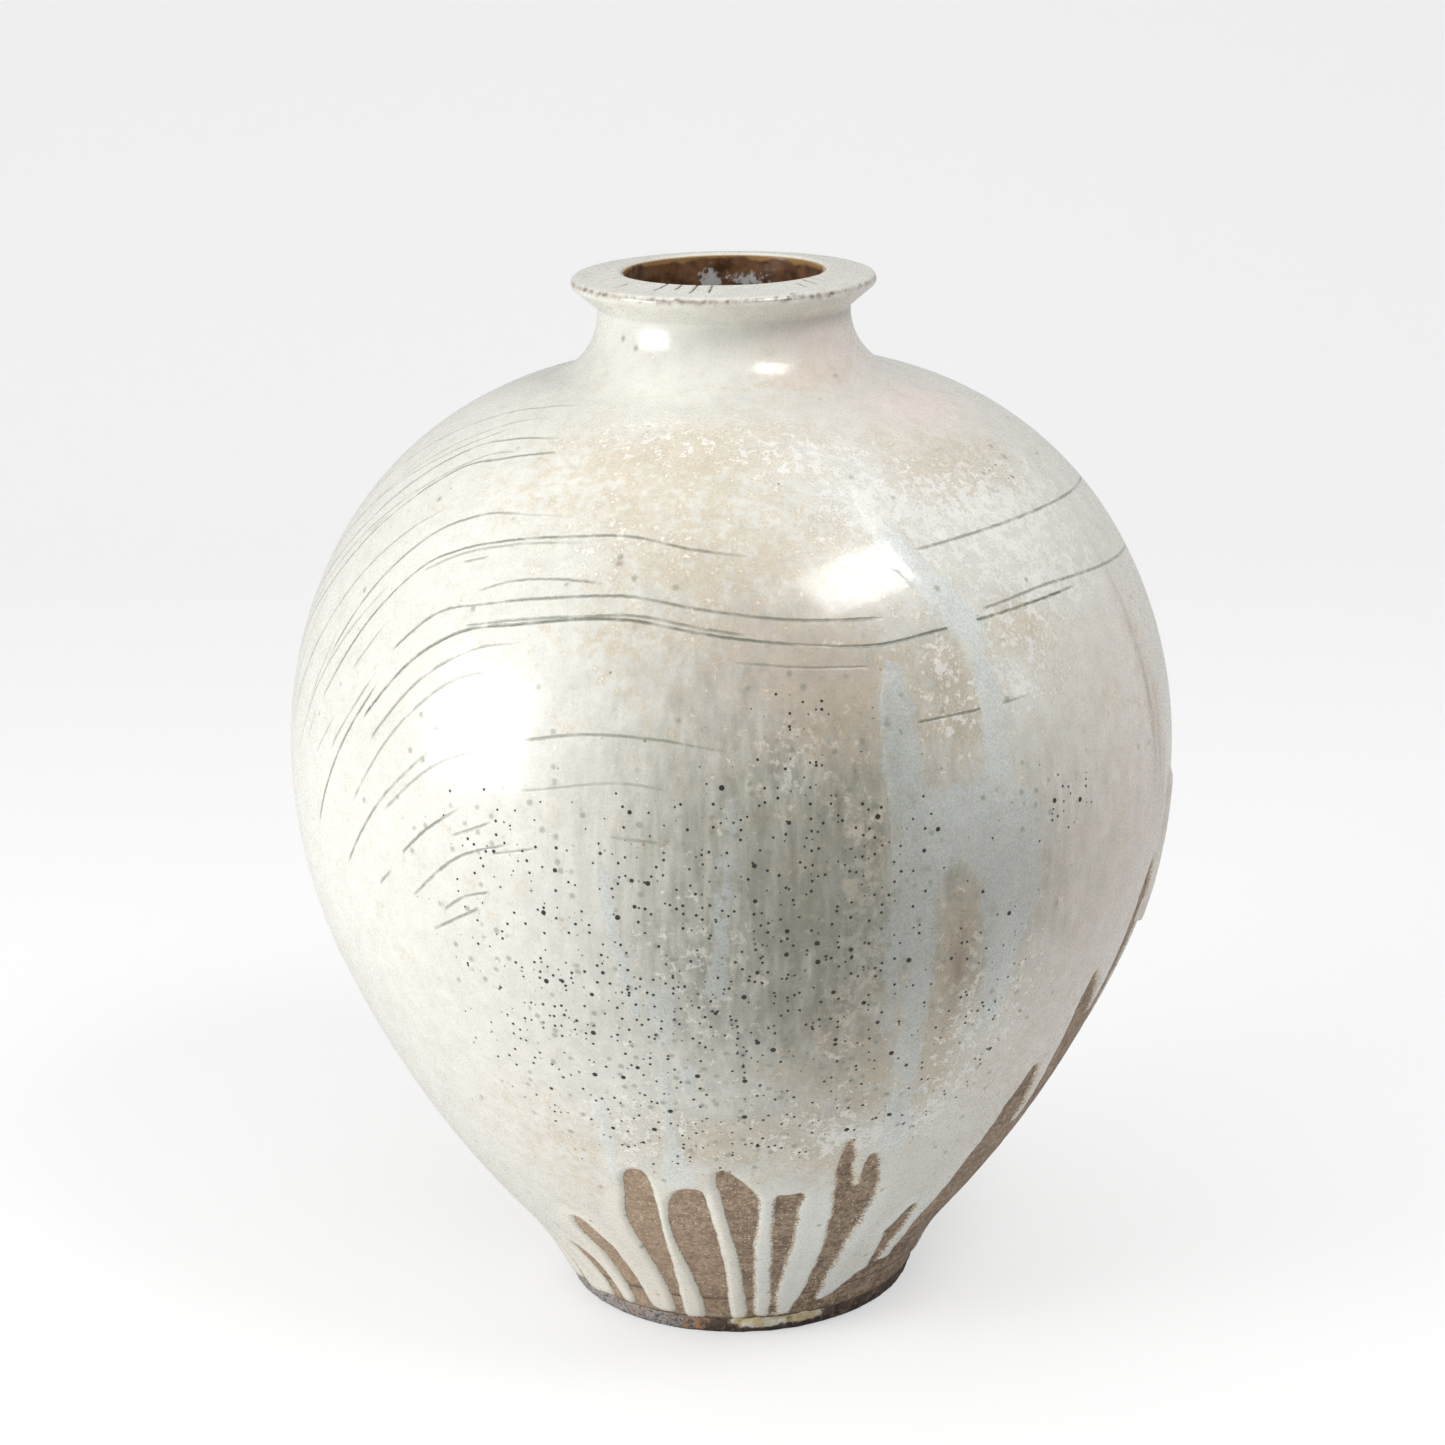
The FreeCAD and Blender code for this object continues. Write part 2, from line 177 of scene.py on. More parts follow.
@dataclass(frozen=True)
class Grain:
    """Smooth random field on the wall, the same on every run.

    It is a lattice of seeded random numbers, each point blended between its four nearest by a
    smooth step, summed over octaves that halve in size and strength.
    """

    seed: int
    across: float
    along: float
    octaves: int = 2

    def at(self, theta: Array, s: Array) -> Array:
        """The field.

        Args:
            theta: Azimuths in degrees.
            s: Lengths in metres.

        Returns:
            Values of about -1 to 1.
        """
        theta, s = np.broadcast_arrays(theta, s)
        total = np.zeros(theta.shape)
        weight = 0.0
        for octave in range(self.octaves):
            share = 0.5 ** octave
            columns = max(3, round(TURN / self.across * 2 ** octave))
            u = (theta % TURN) / TURN * columns
            v = s / self.along * 2 ** octave + 8.0
            rows = int(np.max(v)) + 3
            lattice = np.random.default_rng(self.seed + octave).uniform(-1, 1, (rows, columns))
            column, row = np.floor(u).astype(int), np.floor(v).astype(int)
            fu, fv = ease(0, 1, u - column), ease(0, 1, v - row)
            left, right = column % columns, (column + 1) % columns
            low = lattice[row, left] * (1 - fu) + lattice[row, right] * fu
            high = lattice[row + 1, left] * (1 - fu) + lattice[row + 1, right] * fu
            total += share * (low * (1 - fv) + high * fv)
            weight += share
        return total / weight


@dataclass(frozen=True)
class Stretch:
    """One stretch of an outline: an arc that bulges (turn above 0) or is hollow, or a straight."""

    size: float
    turn: float = 0.0


@dataclass(frozen=True)
class ThrownForm:
    """The clay's outline, traced up and down from the widest point as arcs without a corner.

    A wall moved out by a thickness is the same chain moved along its normals, so a place is a
    length along the clay plus a lift.
    """

    belly_radius: float = 191.6 * MM
    belly_height: float = 252.7 * MM
    toe_radius: float = 74.4 * MM
    bore_radius: float = 43.53 * MM
    wall: float = 9.2 * MM
    floor: float = 21.0 * MM
    sample: float = 0.25 * MM
    heel_points: int = 14
    body: tuple[Stretch, ...] = (
        Stretch(182.8 * MM, 30.6), Stretch(145.8 * MM, 45.5), Stretch(30.2 * MM, -76.1))
    rim: tuple[Stretch, ...] = (
        Stretch(0.6 * MM), Stretch(4.2 * MM, -50.0), Stretch(11.8 * MM), Stretch(1.4 * MM, 133.0),
        Stretch(19.15 * MM))
    lower: tuple[Stretch, ...] = (Stretch(229.0 * MM, 22.3), Stretch(457.3 * MM, 17.6))
    foot: tuple[Stretch, ...] = (Stretch(157.9 * MM, -18.4),)

    def trace(self, stretches: tuple[Stretch, ...], going: int, offset: float) -> Array:
        """Points and headings of a chain of stretches from the widest point.

        An arc's points are its start plus radius times the change in sine and cosine of the
        heading, the way a wheel rolls.

        Args:
            stretches: What follows what.
            going: 1 for up the wall, -1 for down.
            offset: How far the wall is moved out.

        Returns:
            Rows of radius, height and heading in radians.
        """
        place = np.array([self.belly_radius + offset, self.belly_height])
        heading = going * math.pi / 2
        rows = []
        for stretch in stretches:
            if stretch.turn:
                side = math.copysign(1.0, stretch.turn)
                radius = stretch.size + side * offset
                turn = going * math.radians(stretch.turn)
                count = max(6, int(abs(turn) * radius / self.sample))
                headings = heading + np.linspace(0, turn, count)
                bend = radius * math.copysign(1.0, turn)
                across = bend * (np.sin(headings) - math.sin(heading))
                rise = -bend * (np.cos(headings) - math.cos(heading))
            else:
                count = max(3, int(stretch.size / self.sample))
                gone = np.linspace(0, stretch.size, count)
                headings = np.full(count, heading)
                across, rise = gone * math.cos(heading), gone * math.sin(heading)
            rows.append(np.stack([place[0] + across, place[1] + rise, headings], 1))
            place, heading = rows[-1][-1, :2], rows[-1][-1, 2]
        return np.concatenate(rows)

    def outside(self) -> Array:
        """Outline from the toe to the bore, with points that fall together left out.

        Returns:
            Rows of length, radius, height and outward normal.
        """
        up = self.trace(self.body + self.rim, 1, 0.0)
        down = self.trace(self.lower + self.foot, -1, 0.0)[::-1]
        down[:, 2] += math.pi
        base = down[0]
        heel = np.linspace((self.toe_radius, 0.0), base[:2], self.heel_points)[:-1]
        slope = math.atan2(base[1], base[0] - self.toe_radius)
        heel = np.column_stack([heel, np.full(len(heel), slope)])
        line = np.concatenate([heel, down, up])
        gone = np.hypot(*np.diff(line[:, :2], axis=0).T)
        line = line[np.r_[True, gone > 1e-9]]
        return np.column_stack([gone_along(line[:, :2]), line[:, 0], line[:, 1],
                                np.sin(line[:, 2]), -np.cos(line[:, 2])])

    def inside(self, offset: float, top: float) -> Array:
        """Rows of radius and height of the inside, from the floor's middle to the mouth.

        Args:
            offset: How far in from the clay's outside, negative.
            top: Height where the mouth ends.

        Returns:
            The points.
        """
        up = self.trace(self.body, 1, offset)[:, :2]
        down = self.trace(self.lower, -1, offset)
        level = self.floor - self.wall - offset
        heading = down[-1, 2]
        drop = (level - down[-1, 1]) / math.sin(heading)
        corner = (down[-1, 0] + drop * math.cos(heading), level)
        return np.concatenate([[(0.0, level)], [corner], down[::-1, :2], up[1:],
                               [(up[-1, 0], top)]])


class Wall:
    """Places on the clay wall, by azimuth and length along the outline."""

    def __init__(self, form: ThrownForm) -> None:
        """Lays out the outline of a form.

        Args:
            form: The thrown clay.
        """
        self.form = form
        self.line = form.outside()
        self.length = self.line[-1, 0]
        crest = int(np.argmax(self.line[:, 2] > RIM_LINE_MM * MM))
        self.rising = self.line[:crest + 1]

    def up_to(self, height_mm: Array) -> Array:
        """Length along the outline at heights in millimetres, below the rim's edge."""
        return np.interp(np.asarray(height_mm) * MM, self.rising[:, 2], self.rising[:, 0])

    def radius(self, s: Array) -> Array:
        """Radius of the clay at lengths along the outline."""
        return np.interp(s, self.line[:, 0], self.line[:, 1])

    def height(self, s: Array) -> Array:
        """Height of the clay at lengths along the outline."""
        return np.interp(s, self.line[:, 0], self.line[:, 2])

    def points(self, theta: Array, s: Array, lift: Array) -> Array:
        """Points of a surface: the clay's point plus lift times its normal, turned to theta.

        Args:
            theta: Azimuths in degrees.
            s: Lengths.
            lift: Distances out from the clay.

        Returns:
            Array of x, y and z.
        """
        radius = self.radius(s) + lift * np.interp(s, self.line[:, 0], self.line[:, 3])
        height = self.height(s) + lift * np.interp(s, self.line[:, 0], self.line[:, 4])
        return turned(radius, height, theta)

    def backing(self, theta: Array, s: Array, rows: int, lift: float) -> Array:
        """Points behind a skin, from its last row back to its first.

        Args:
            theta: Azimuths of the columns.
            s: Lengths of the skin's rows.
            rows: How many rows the back has.
            lift: How far out from the clay it lies, below 0 inside.

        Returns:
            Rows and columns of x, y and z.
        """
        across, up = np.meshgrid(theta, np.linspace(s[-1], s[0], rows))
        return self.points(across, up, lift)


@dataclass(frozen=True)
class Blot:
    """Closed outline drawn on the wall as corners of azimuth and height, rounded off."""

    corners: tuple[Place, ...]
    rounds: int = 2

    def rounded(self) -> Array:
        """Cuts the corners, each a quarter of the way along its two sides.

        Returns:
            Rows of azimuth and height.
        """
        line = np.array(self.corners, float)
        for _ in range(self.rounds):
            ahead = np.roll(line, -1, 0)
            line = np.stack([0.75 * line + 0.25 * ahead, 0.25 * line + 0.75 * ahead], 1)
            line = line.reshape(-1, 2)
        return line

    def depth(self, wall: Wall, theta: Array, s: Array) -> Array:
        """How far inside the outline places lie, in millimetres, below 0 outside it.

        Corners are laid flat round each place, azimuth times the radius there. The depth is the
        distance to the nearest side, and its sign comes from how many sides a line to the right
        crosses.

        Args:
            wall: Where it is drawn.
            theta: Azimuths.
            s: Lengths.

        Returns:
            Depths, never further out than FAR_MM.
        """
        line = self.rounded()
        found = np.full(theta.shape, -FAR_MM)
        radius = wall.radius(s)
        margin = FAR_MM / np.radians(1.0) * MM / radius
        along = wall.up_to(line[:, 1])
        near = ((azimuth_gap(theta, line[:, 0].min()) > -margin)
                & (azimuth_gap(theta, line[:, 0].max()) < margin)
                & (s > along.min() - FAR_MM * MM) & (s < along.max() + FAR_MM * MM))
        if not near.any():
            return found
        across = np.radians(azimuth_gap(line[None, :, 0], theta[near][:, None]))
        x0 = across * radius[near][:, None]
        y0 = along[None, :] - s[near][:, None]
        x1, y1 = np.roll(x0, -1, 1), np.roll(y0, -1, 1)
        dx, dy = x1 - x0, y1 - y0
        share = np.clip(-(x0 * dx + y0 * dy) / (dx * dx + dy * dy + 1e-18), 0, 1)
        gap = np.sqrt(np.min((x0 + share * dx) ** 2 + (y0 + share * dy) ** 2, axis=1))
        crosses = ((y0 > 0) != (y1 > 0)) & (x0 - y0 * dx / np.where(dy == 0, 1e-18, dy) > 0)
        inside = crosses.sum(1) % 2 == 1
        found[near] = np.maximum(np.where(inside, gap, -gap) / MM, -FAR_MM)
        return found


def deepest(blots: tuple[Blot, ...], wall: Wall, theta: Array, s: Array) -> Array:
    """Depth in millimetres of each place in whichever of the outlines it lies deepest in."""
    return np.max([blot.depth(wall, theta, s) for blot in blots], axis=0)


@dataclass(frozen=True)
class Cloud:
    """Soft round patch on the wall: strength times e to the minus squared distance.

    The distance is counted in half sizes, degrees across and millimetres up.
    """

    theta: float
    height: float
    half_turn: float
    half_tall: float
    strength: float = 1.0

    def at(self, wall: Wall, theta: Array, s: Array) -> Array:
        """Strength at places.

        Args:
            wall: Where the patch lies.
            theta: Azimuths.
            s: Lengths.

        Returns:
            Values from 0 to the full strength.
        """
        across = azimuth_gap(theta, self.theta) / self.half_turn
        up = (s - wall.up_to(self.height)) / (self.half_tall * MM)
        return self.strength * np.exp(-across ** 2 - up ** 2)


def clouded(clouds: tuple[Cloud, ...], wall: Wall, theta: Array, s: Array) -> Array:
    """Several clouds over each other: one less the product of what each leaves clear."""
    return 1 - np.prod([1 - cloud.at(wall, theta, s) for cloud in clouds], axis=0)


def sky(*clouds: tuple[float, ...]) -> tuple[Cloud, ...]:
    """Clouds from rows of azimuth, height, half sizes and strength."""
    return tuple(Cloud(*cloud) for cloud in clouds)


@dataclass(frozen=True)
class Stroke:
    """Scratch that one tooth of the comb left, through places of azimuth and height."""

    places: tuple[Place, ...]
    depth: float = 1.0
    head: float = 1.5
    tail: float = 5.0

    def height(self, theta: Array) -> Array:
        """Height at azimuths: cubic curves through the places, sloped there as their neighbours.

        Args:
            theta: Azimuths between the first place and the last.

        Returns:
            Heights in millimetres.
        """
        xs, ys = np.array(self.places).T
        straight = np.full(2, (ys[1] - ys[0]) / (xs[1] - xs[0]))
        slopes = np.gradient(ys, xs) if len(xs) > 2 else straight
        spot = np.clip(np.searchsorted(xs, theta) - 1, 0, len(xs) - 2)
        span = xs[spot + 1] - xs[spot]
        t = (theta - xs[spot]) / span
        rise = (2 * t ** 3 - 3 * t ** 2 + 1) * ys[spot] + (3 * t ** 2 - 2 * t ** 3) * ys[spot + 1]
        lean = (t ** 3 - 2 * t ** 2 + t) * slopes[spot] + (t ** 3 - t ** 2) * slopes[spot + 1]
        return rise + span * lean

    def faded(self, theta: Array) -> Array:
        """Depth at azimuths: short rise at the head, longer fade at the tail."""
        first, last = self.places[0][0], self.places[-1][0]
        return self.depth * ease(0, self.head, theta - first) * ease(0, self.tail, last - theta)


class CombMarks:
    """All comb strokes, dealt out into groups whose strokes stay well apart.

    Each group is carried as the signed distance to its nearest stroke and that stroke's depth.
    The depth is 0 where the nearest stroke changes, so both can be blended between points.
    """

    groups: int = 6
    apart_mm: float = 9.0
    reach_mm: float = 4.0
    full_mm: float = 3.0
    beyond: float = 3.0
    samples: int = 24
    look_ahead: float = 0.2

    def __init__(self, strokes: tuple[Stroke, ...], wall: Wall) -> None:
        """Deals the strokes out.

        Args:
            strokes: What the comb left.
            wall: Where it was drawn.
        """
        self.wall = wall
        self.dealt: list[list[Stroke]] = [[] for _ in range(self.groups)]
        for stroke in strokes:
            room = [self.room(stroke, group) for group in self.dealt]
            self.dealt[int(np.argmax(room))].append(stroke)

    def room(self, stroke: Stroke, group: list[Stroke]) -> float:
        """Least gap between a stroke and those of a group, capped at what is enough.

        The gap in height is divided by the slant of the stroke, as degrees are about 3 mm there.

        Args:
            stroke: The stroke to place.
            group: Strokes already there.

        Returns:
            Millimetres.
        """
        least = self.apart_mm
        for other in group:
            first = max(stroke.places[0][0], other.places[0][0]) - self.beyond
            last = min(stroke.places[-1][0], other.places[-1][0]) + self.beyond
            if first < last:
                theta = np.linspace(first, last, self.samples)
                here, there = stroke.height(theta), other.height(theta)
                steep = np.abs(np.gradient(here, theta)) / 3.0
                least = min(least, float(np.min(np.abs(here - there) / np.hypot(1, steep))))
        return least

    def at(self, theta: Array, s: Array) -> tuple[Array, Array]:
        """Distance and depth of the nearest stroke of each group.

        Args:
            theta: Azimuths of the columns.
            s: Lengths of the rows.

        Returns:
            Two arrays of rows, columns and groups: millimetres up from the stroke, and depth.
        """
        near = np.full((len(s), len(theta), self.groups), FAR_MM)
        mark = np.zeros_like(near)
        turned = azimuth_gap(theta, 0.0)
        for number, group in enumerate(self.dealt):
            for stroke in group:
                first, last = stroke.places[0][0], stroke.places[-1][0]
                along = first + (turned - first) % TURN
                held = np.flatnonzero(along <= last)
                if not len(held):
                    continue
                where = along[held]
                path = self.wall.up_to(stroke.height(where))
                further = np.clip(where + self.look_ahead, first, last)
                ahead = self.wall.up_to(stroke.height(further))
                run = np.radians(self.look_ahead) * self.wall.radius(path)
                flat = run / np.hypot(run, ahead - path)
                away = (s[:, None] - path[None, :]) * flat[None, :] / MM
                held_in = ease(self.reach_mm, self.full_mm, np.abs(away))
                depth = stroke.faded(where)[None, :] * held_in
                closer = np.abs(away) < np.abs(near[:, held, number])
                near[:, held, number] = np.where(closer, away, near[:, held, number])
                mark[:, held, number] = np.where(closer, depth, mark[:, held, number])
        return np.clip(near, -FAR_MM, FAR_MM), mark


# Windows of bare clay between the streams above the foot, seen from the front
FRONT_WINDOWS = (
    Blot(((-43.8, 3), (-43.9, 15), (-45.5, 24), (-48.0, 34), (-48.6, 41), (-47.4, 43), (-45.6, 40),
      (-43.3, 36), (-41.6, 26), (-40.5, 15), (-40.3, 3))),
    Blot(((-34.6, 3), (-34.7, 14), (-35.6, 26), (-36.3, 36), (-35.9, 43), (-37.4, 52), (-38.2, 61),
      (-36.4, 69), (-34.2, 67), (-33.2, 60), (-31.2, 52), (-31.2, 36), (-30.1, 25), (-29.3, 14),
      (-29.1, 3))),
    Blot(((-20.0, 3), (-20.2, 14), (-21.5, 36), (-22.2, 60), (-22.7, 76), (-20.4, 91), (-19.8, 104),
      (-18.0, 108.5), (-15.3, 107.5), (-15.0, 97), (-15.3, 80), (-16.3, 55), (-17.6, 32),
      (-18.1, 14), (-18.1, 3))),
    Blot(((-10.6, 3), (-10.8, 12), (-12.1, 34), (-13.5, 54), (-13.9, 74), (-12.8, 90), (-10.4, 98),
      (-6.2, 98), (-5.8, 90), (-5.1, 76), (-4.3, 58), (-3.7, 36), (-3.3, 12), (-3.3, 3))),
    Blot(((2.3, 3), (2.2, 14), (0.9, 32), (-0.6, 56), (-2.0, 73), (-3.0, 90), (-3.9, 107),
      (-2.6, 110.5), (0.0, 104), (2.7, 95.5), (3.5, 88), (3.1, 72), (2.7, 58), (3.1, 40), (3.6, 20),
      (3.9, 3))),
    Blot(((9.4, 13), (9.2, 24), (8.2, 42), (7.3, 60), (6.7, 80), (6.5, 93.5), (8.6, 93), (11.3, 94),
      (10.5, 84), (10.9, 66), (10.7, 48), (10.1, 30), (9.9, 13)), 1),
    Blot(((14.8, 3), (15.7, 12), (17.4, 20), (19.3, 29), (19.6, 42), (19.0, 62), (18.2, 80),
      (17.0, 96), (16.4, 112), (17.2, 125), (18.3, 117), (18.9, 103), (19.2, 96), (20.6, 93),
      (21.7, 96), (21.4, 104), (21.3, 111), (22.4, 113.5), (23.6, 106), (25.0, 92), (25.1, 78),
      (23.7, 60), (24.2, 49), (23.5, 30), (23.2, 18), (21.0, 3))),
    Blot(((38.4, 20), (38.3, 32), (37.5, 44), (35.6, 51), (34.7, 57), (36.2, 62), (37.5, 72),
      (39.0, 66), (39.4, 56), (40.1, 42), (39.9, 20))),
    Blot(((12.0, 2), (15.0, 10.5), (19.0, 14.5), (22.2, 19), (23.2, 15.5), (26.8, 16), (30.0, 19.5),
      (33.0, 25), (36.0, 29), (40.0, 31), (45.0, 30.5), (50.0, 40), (62.0, 40), (62.0, 2))),
    Blot(((44.4, 3), (46.0, 29), (45.3, 42), (44.4, 53), (43.6, 60), (45.2, 70), (46.5, 86),
      (47.6, 101), (48.9, 119), (50.0, 131), (51.5, 137), (52.9, 131), (53.9, 121), (55.6, 112),
      (56.0, 106), (55.6, 99), (57.2, 99), (57.6, 107), (58.4, 114), (57.4, 128), (57.1, 147),
      (56.9, 168), (58.0, 176), (59.9, 169), (62.0, 160), (63.2, 146), (64.4, 150), (66.3, 180),
      (68.6, 204), (71.0, 215), (74.0, 208), (76.0, 180), (77.5, 140), (79.5, 95), (80.0, 50),
      (79.0, 3))),
)


@dataclass(frozen=True)
class BackWindow:
    """Window on the side that isn't seen from the front, as its azimuth, top and widths."""

    theta: float
    top: float
    width: float
    foot_width: float
    lean: float

    def blot(self) -> Blot:
        """Draws it: straight sides from the foot, drawn in and rounded at the top.

        Widths in millimetres become degrees by the wall's radius at the foot and at the top.

        Returns:
            The outline.
        """
        foot_mm, spread = 78.0, 0.42
        turn_top = math.degrees(self.width / 2 / (95.0 + spread * self.top))
        turn_foot = math.degrees(self.foot_width / 2 / foot_mm)
        shift = math.degrees(self.lean / foot_mm)
        middle = self.theta + 0.3 * shift
        return Blot(((self.theta + shift - turn_foot, 3),
                     (middle - 1.1 * turn_top, 0.55 * self.top),
                     (self.theta - turn_top, 0.85 * self.top),
                     (self.theta - 0.8 * turn_top, 1.05 * self.top),
                     (self.theta + 0.7 * turn_top, 1.08 * self.top),
                     (self.theta + turn_top, 0.86 * self.top),
                     (middle + 1.05 * turn_top, 0.5 * self.top),
                     (self.theta + shift + turn_foot, 3)))


BACK_WINDOWS = tuple(BackWindow(*window).blot() for window in (
    (92.0, 118.0, 12.0, 14.0, 0.0), (107.0, 84.0, 9.0, 8.0, 2.0), (121.0, 108.0, 15.0, 11.0, 0.0),
    (136.0, 74.0, 8.0, 7.0, -2.0), (151.0, 98.0, 13.0, 8.0, 1.0), (165.0, 62.0, 7.0, 6.0, 0.0),
    (179.0, 90.0, 14.0, 9.0, 2.0), (-166.0, 78.0, 9.0, 8.0, 0.0), (-150.0, 106.0, 12.0, 7.0, -2.0),
    (-134.0, 68.0, 8.0, 7.0, 1.0), (-117.0, 92.0, 13.0, 8.0, 0.0), (-99.0, 57.0, 7.0, 6.0, -1.0),
    (-76.0, 49.0, 8.0, 6.0, 0.0), (-61.0, 32.0, 5.0, 4.0, 3.0)))

# Thick blue-white ash glaze: the two long runs, where they merge, and the small rivulets
ASH_FRONT = Blot((
    (20.4, 330), (19.0, 322), (18.2, 310), (18.0, 290), (18.6, 268), (18.4, 244), (17.6, 228),
    (18.2, 205), (18.6, 188), (19.6, 176), (20.2, 196), (20.8, 222), (21.0, 200), (20.9, 182),
    (21.7, 160), (22.2, 140), (21.8, 124), (24.0, 110), (28.0, 112), (26.4, 132), (25.5, 150),
    (25.0, 172), (24.6, 190), (24.4, 210), (24.9, 232), (24.4, 252), (23.0, 270), (22.9, 296),
    (22.8, 316), (21.6, 328)))
ASH_SHOULDER = Blot((
    (23.6, 372), (24.4, 362), (26.6, 352), (29.0, 344), (31.6, 330), (32.2, 312), (32.2, 294),
    (31.2, 276), (31.6, 262), (35.6, 262), (35.8, 288), (35.8, 312), (35.2, 330), (36.8, 342),
    (34.0, 350), (30.0, 362), (27.4, 374), (25.2, 378)))
ASH_MERGED = Blot((
    (18.6, 262), (23.4, 282), (28.0, 278), (33.0, 284), (37.4, 276), (40.0, 262), (39.6, 236),
    (37.4, 206), (36.2, 178), (34.2, 160), (33.0, 184), (31.6, 214), (30.8, 246), (26.4, 250),
    (24.6, 240), (20.0, 240)))
ASH_OTHERS = (
    Blot(((-16.4, 258), (-16.6, 244), (-15.2, 236), (-15.0, 222), (-13.9, 208), (-13.0, 190),
      (-11.6, 192), (-12.4, 210), (-13.4, 226), (-13.6, 240), (-14.2, 256))),
    Blot(((-1.0, 288), (-1.0, 262), (-2.0, 240), (-2.6, 222), (-3.6, 204), (-2.2, 196), (-0.8, 206),
      (-0.8, 226), (0.2, 250), (0.8, 280))),
    Blot(((-10.4, 206), (-9.8, 184), (-10.6, 160), (-10.6, 140), (-11.2, 120), (-13.4, 102),
      (-12.0, 97), (-9.0, 101), (-6.6, 101), (-8.0, 118), (-8.9, 136), (-9.0, 160), (-8.0, 184),
      (-6.8, 204))),
    Blot(((-20.4, 150), (-21.4, 118), (-22.6, 98), (-20.6, 96), (-19.4, 108), (-19.2, 130),
      (-19.2, 150))),
    Blot(((-7.6, 170), (-7.0, 150), (-5.6, 140), (-4.8, 150), (-6.0, 166)), 1),
)
ASH_BACK = tuple(
    Blot(((at, top), (at - 2.4, top - 40), (at - 2.0, top - 110), (at - 1.0, top - 170),
          (at + 1.0, top - 172), (at + 2.4, top - 120), (at + 3.2, top - 48)))
    for at, top in ((98.0, 356.0), (126.0, 322.0), (158.0, 372.0), (-164.0, 318.0),
                    (-131.0, 348.0), (-104.0, 300.0)))

# Soft patches of colour on the coat
TAN_CLOUDS = sky(
    (13, 318, 8, 27, 0.75), (0, 352, 24, 46, 0.42), (46, 386, 22, 27, 0.8),
    (41, 332, 8, 18, 0.75), (28, 318, 5, 32, 0.8), (28, 205, 4, 34, 0.9), (27, 150, 4, 34, 0.8),
    (38, 150, 14, 50, 0.4), (17, 150, 4, 46, 0.5), (-26, 100, 14, 40, 0.35),
    (-4, 128, 20, 22, 0.6), (12, 118, 8, 18, 0.5), (32, 421, 20, 8, 0.75),
    (-6, 402, 30, 22, 0.85), (4, 372, 22, 20, 0.4), (-20, 385, 20, 20, 0.4),
    (58, 220, 18, 90, 0.34), (12, 160, 10, 46, 0.36), (16, 262, 4, 40, 0.35),
    (69, 270, 5, 60, 0.5), (120, 330, 26, 60, 0.7), (-150, 350, 30, 50, 0.6),
    (175, 230, 20, 70, 0.45))
GREY_CLOUDS = sky(
    (12, 234, 15, 60, 0.88), (0, 262, 16, 75, 0.5), (10, 325, 13, 34, 0.62),
    (15, 275, 8, 50, 0.42), (-2, 345, 20, 36, 0.25), (-10, 260, 14, 70, 0.2),
    (14, 195, 6, 32, 0.5), (37, 232, 15, 56, 0.36), (28, 210, 4, 34, 0.7), (-2, 130, 20, 24, 0.2),
    (28, 318, 5, 30, 0.25), (60, 225, 18, 60, 0.42), (34, 240, 10, 40, 0.3),
    (2, 205, 14, 30, 0.3), (44, 240, 14, 60, 0.2), (-6, 178, 22, 46, 0.2), (16, 158, 16, 38, 0.3),
    (-22, 372, 20, 24, 0.12), (150, 240, 26, 66, 0.6), (-120, 250, 20, 60, 0.4))
# The cloud at 50 degrees and 432 mm gives the neck's right side under the rim its real pink tint,
# and is also painted light over the shade that the rim casts there
PINK_CLOUDS = sky(
    (58, 408, 24, 22, 0.9), (50, 432, 34, 16, 0.8), (62, 220, 22, 110, 0.5),
    (8, 330, 14, 36, 0.3), (-36, 120, 14, 50, 0.15), (34, 421, 14, 8, 0.5),
    (-160, 300, 36, 80, 0.3))
BROWN_CLOUDS = sky(
    (67.4, 292, 0.8, 50, 0.5), (69.8, 262, 0.8, 30, 0.6), (72.0, 232, 0.7, 26, 0.6),
    (46, 420, 1.6, 0.8, 0.8), (-16.2, 367, 0.7, 1.2, 1.0), (28.3, 206, 1.2, 22, 0.5),
    (-12.5, 346, 0.5, 0.9, 0.8))
FLECK_CLOUDS = sky(
    (46, 376, 30, 30, 0.72), (50, 346, 16, 20, 0.55), (16, 400, 14, 18, 0.5),
    (25, 384, 7, 18, 0.72), (14.5, 230, 3.4, 70, 0.6), (6, 296, 6, 18, 0.4),
    (-16, 406, 26, 20, 0.48), (-20, 372, 14, 20, 0.3), (34, 176, 10, 60, 0.5),
    (21, 126, 14, 18, 0.7), (38, 318, 8, 20, 0.55), (-4, 214, 8, 30, 0.4), (0, 135, 16, 24, 0.25),
    (27, 318, 4, 30, 0.45), (-16, 130, 8, 40, 0.4), (120, 350, 30, 44, 0.6),
    (-150, 380, 30, 28, 0.6), (180, 150, 60, 40, 0.4))
PIT_CLOUDS = sky(
    (-20, 190, 16, 80, 0.75), (-4, 190, 24, 62, 1.0), (-2, 130, 20, 20, 0.8),
    (9, 236, 12, 60, 0.8), (2, 262, 20, 30, 0.7), (10, 270, 6, 14, 1.0), (32, 180, 9, 70, 0.75),
    (44, 266, 7, 16, 0.9), (-34, 262, 10, 30, 0.45), (58, 386, 7, 12, 0.5), (8, 316, 10, 14, 0.5),
    (16, 200, 5, 60, 0.8), (140, 220, 32, 70, 0.8), (-130, 210, 28, 64, 0.7))

# Each channel's patches, and the least share of it that is everywhere
PATCHES = {Channel.FLECK: (FLECK_CLOUDS, 0.05), Channel.TAN: (TAN_CLOUDS, 0.0),
           Channel.GREY: (GREY_CLOUDS, 0.0), Channel.PINK: (PINK_CLOUDS, 0.0),
           Channel.PITS: (PIT_CLOUDS, 0.06)}

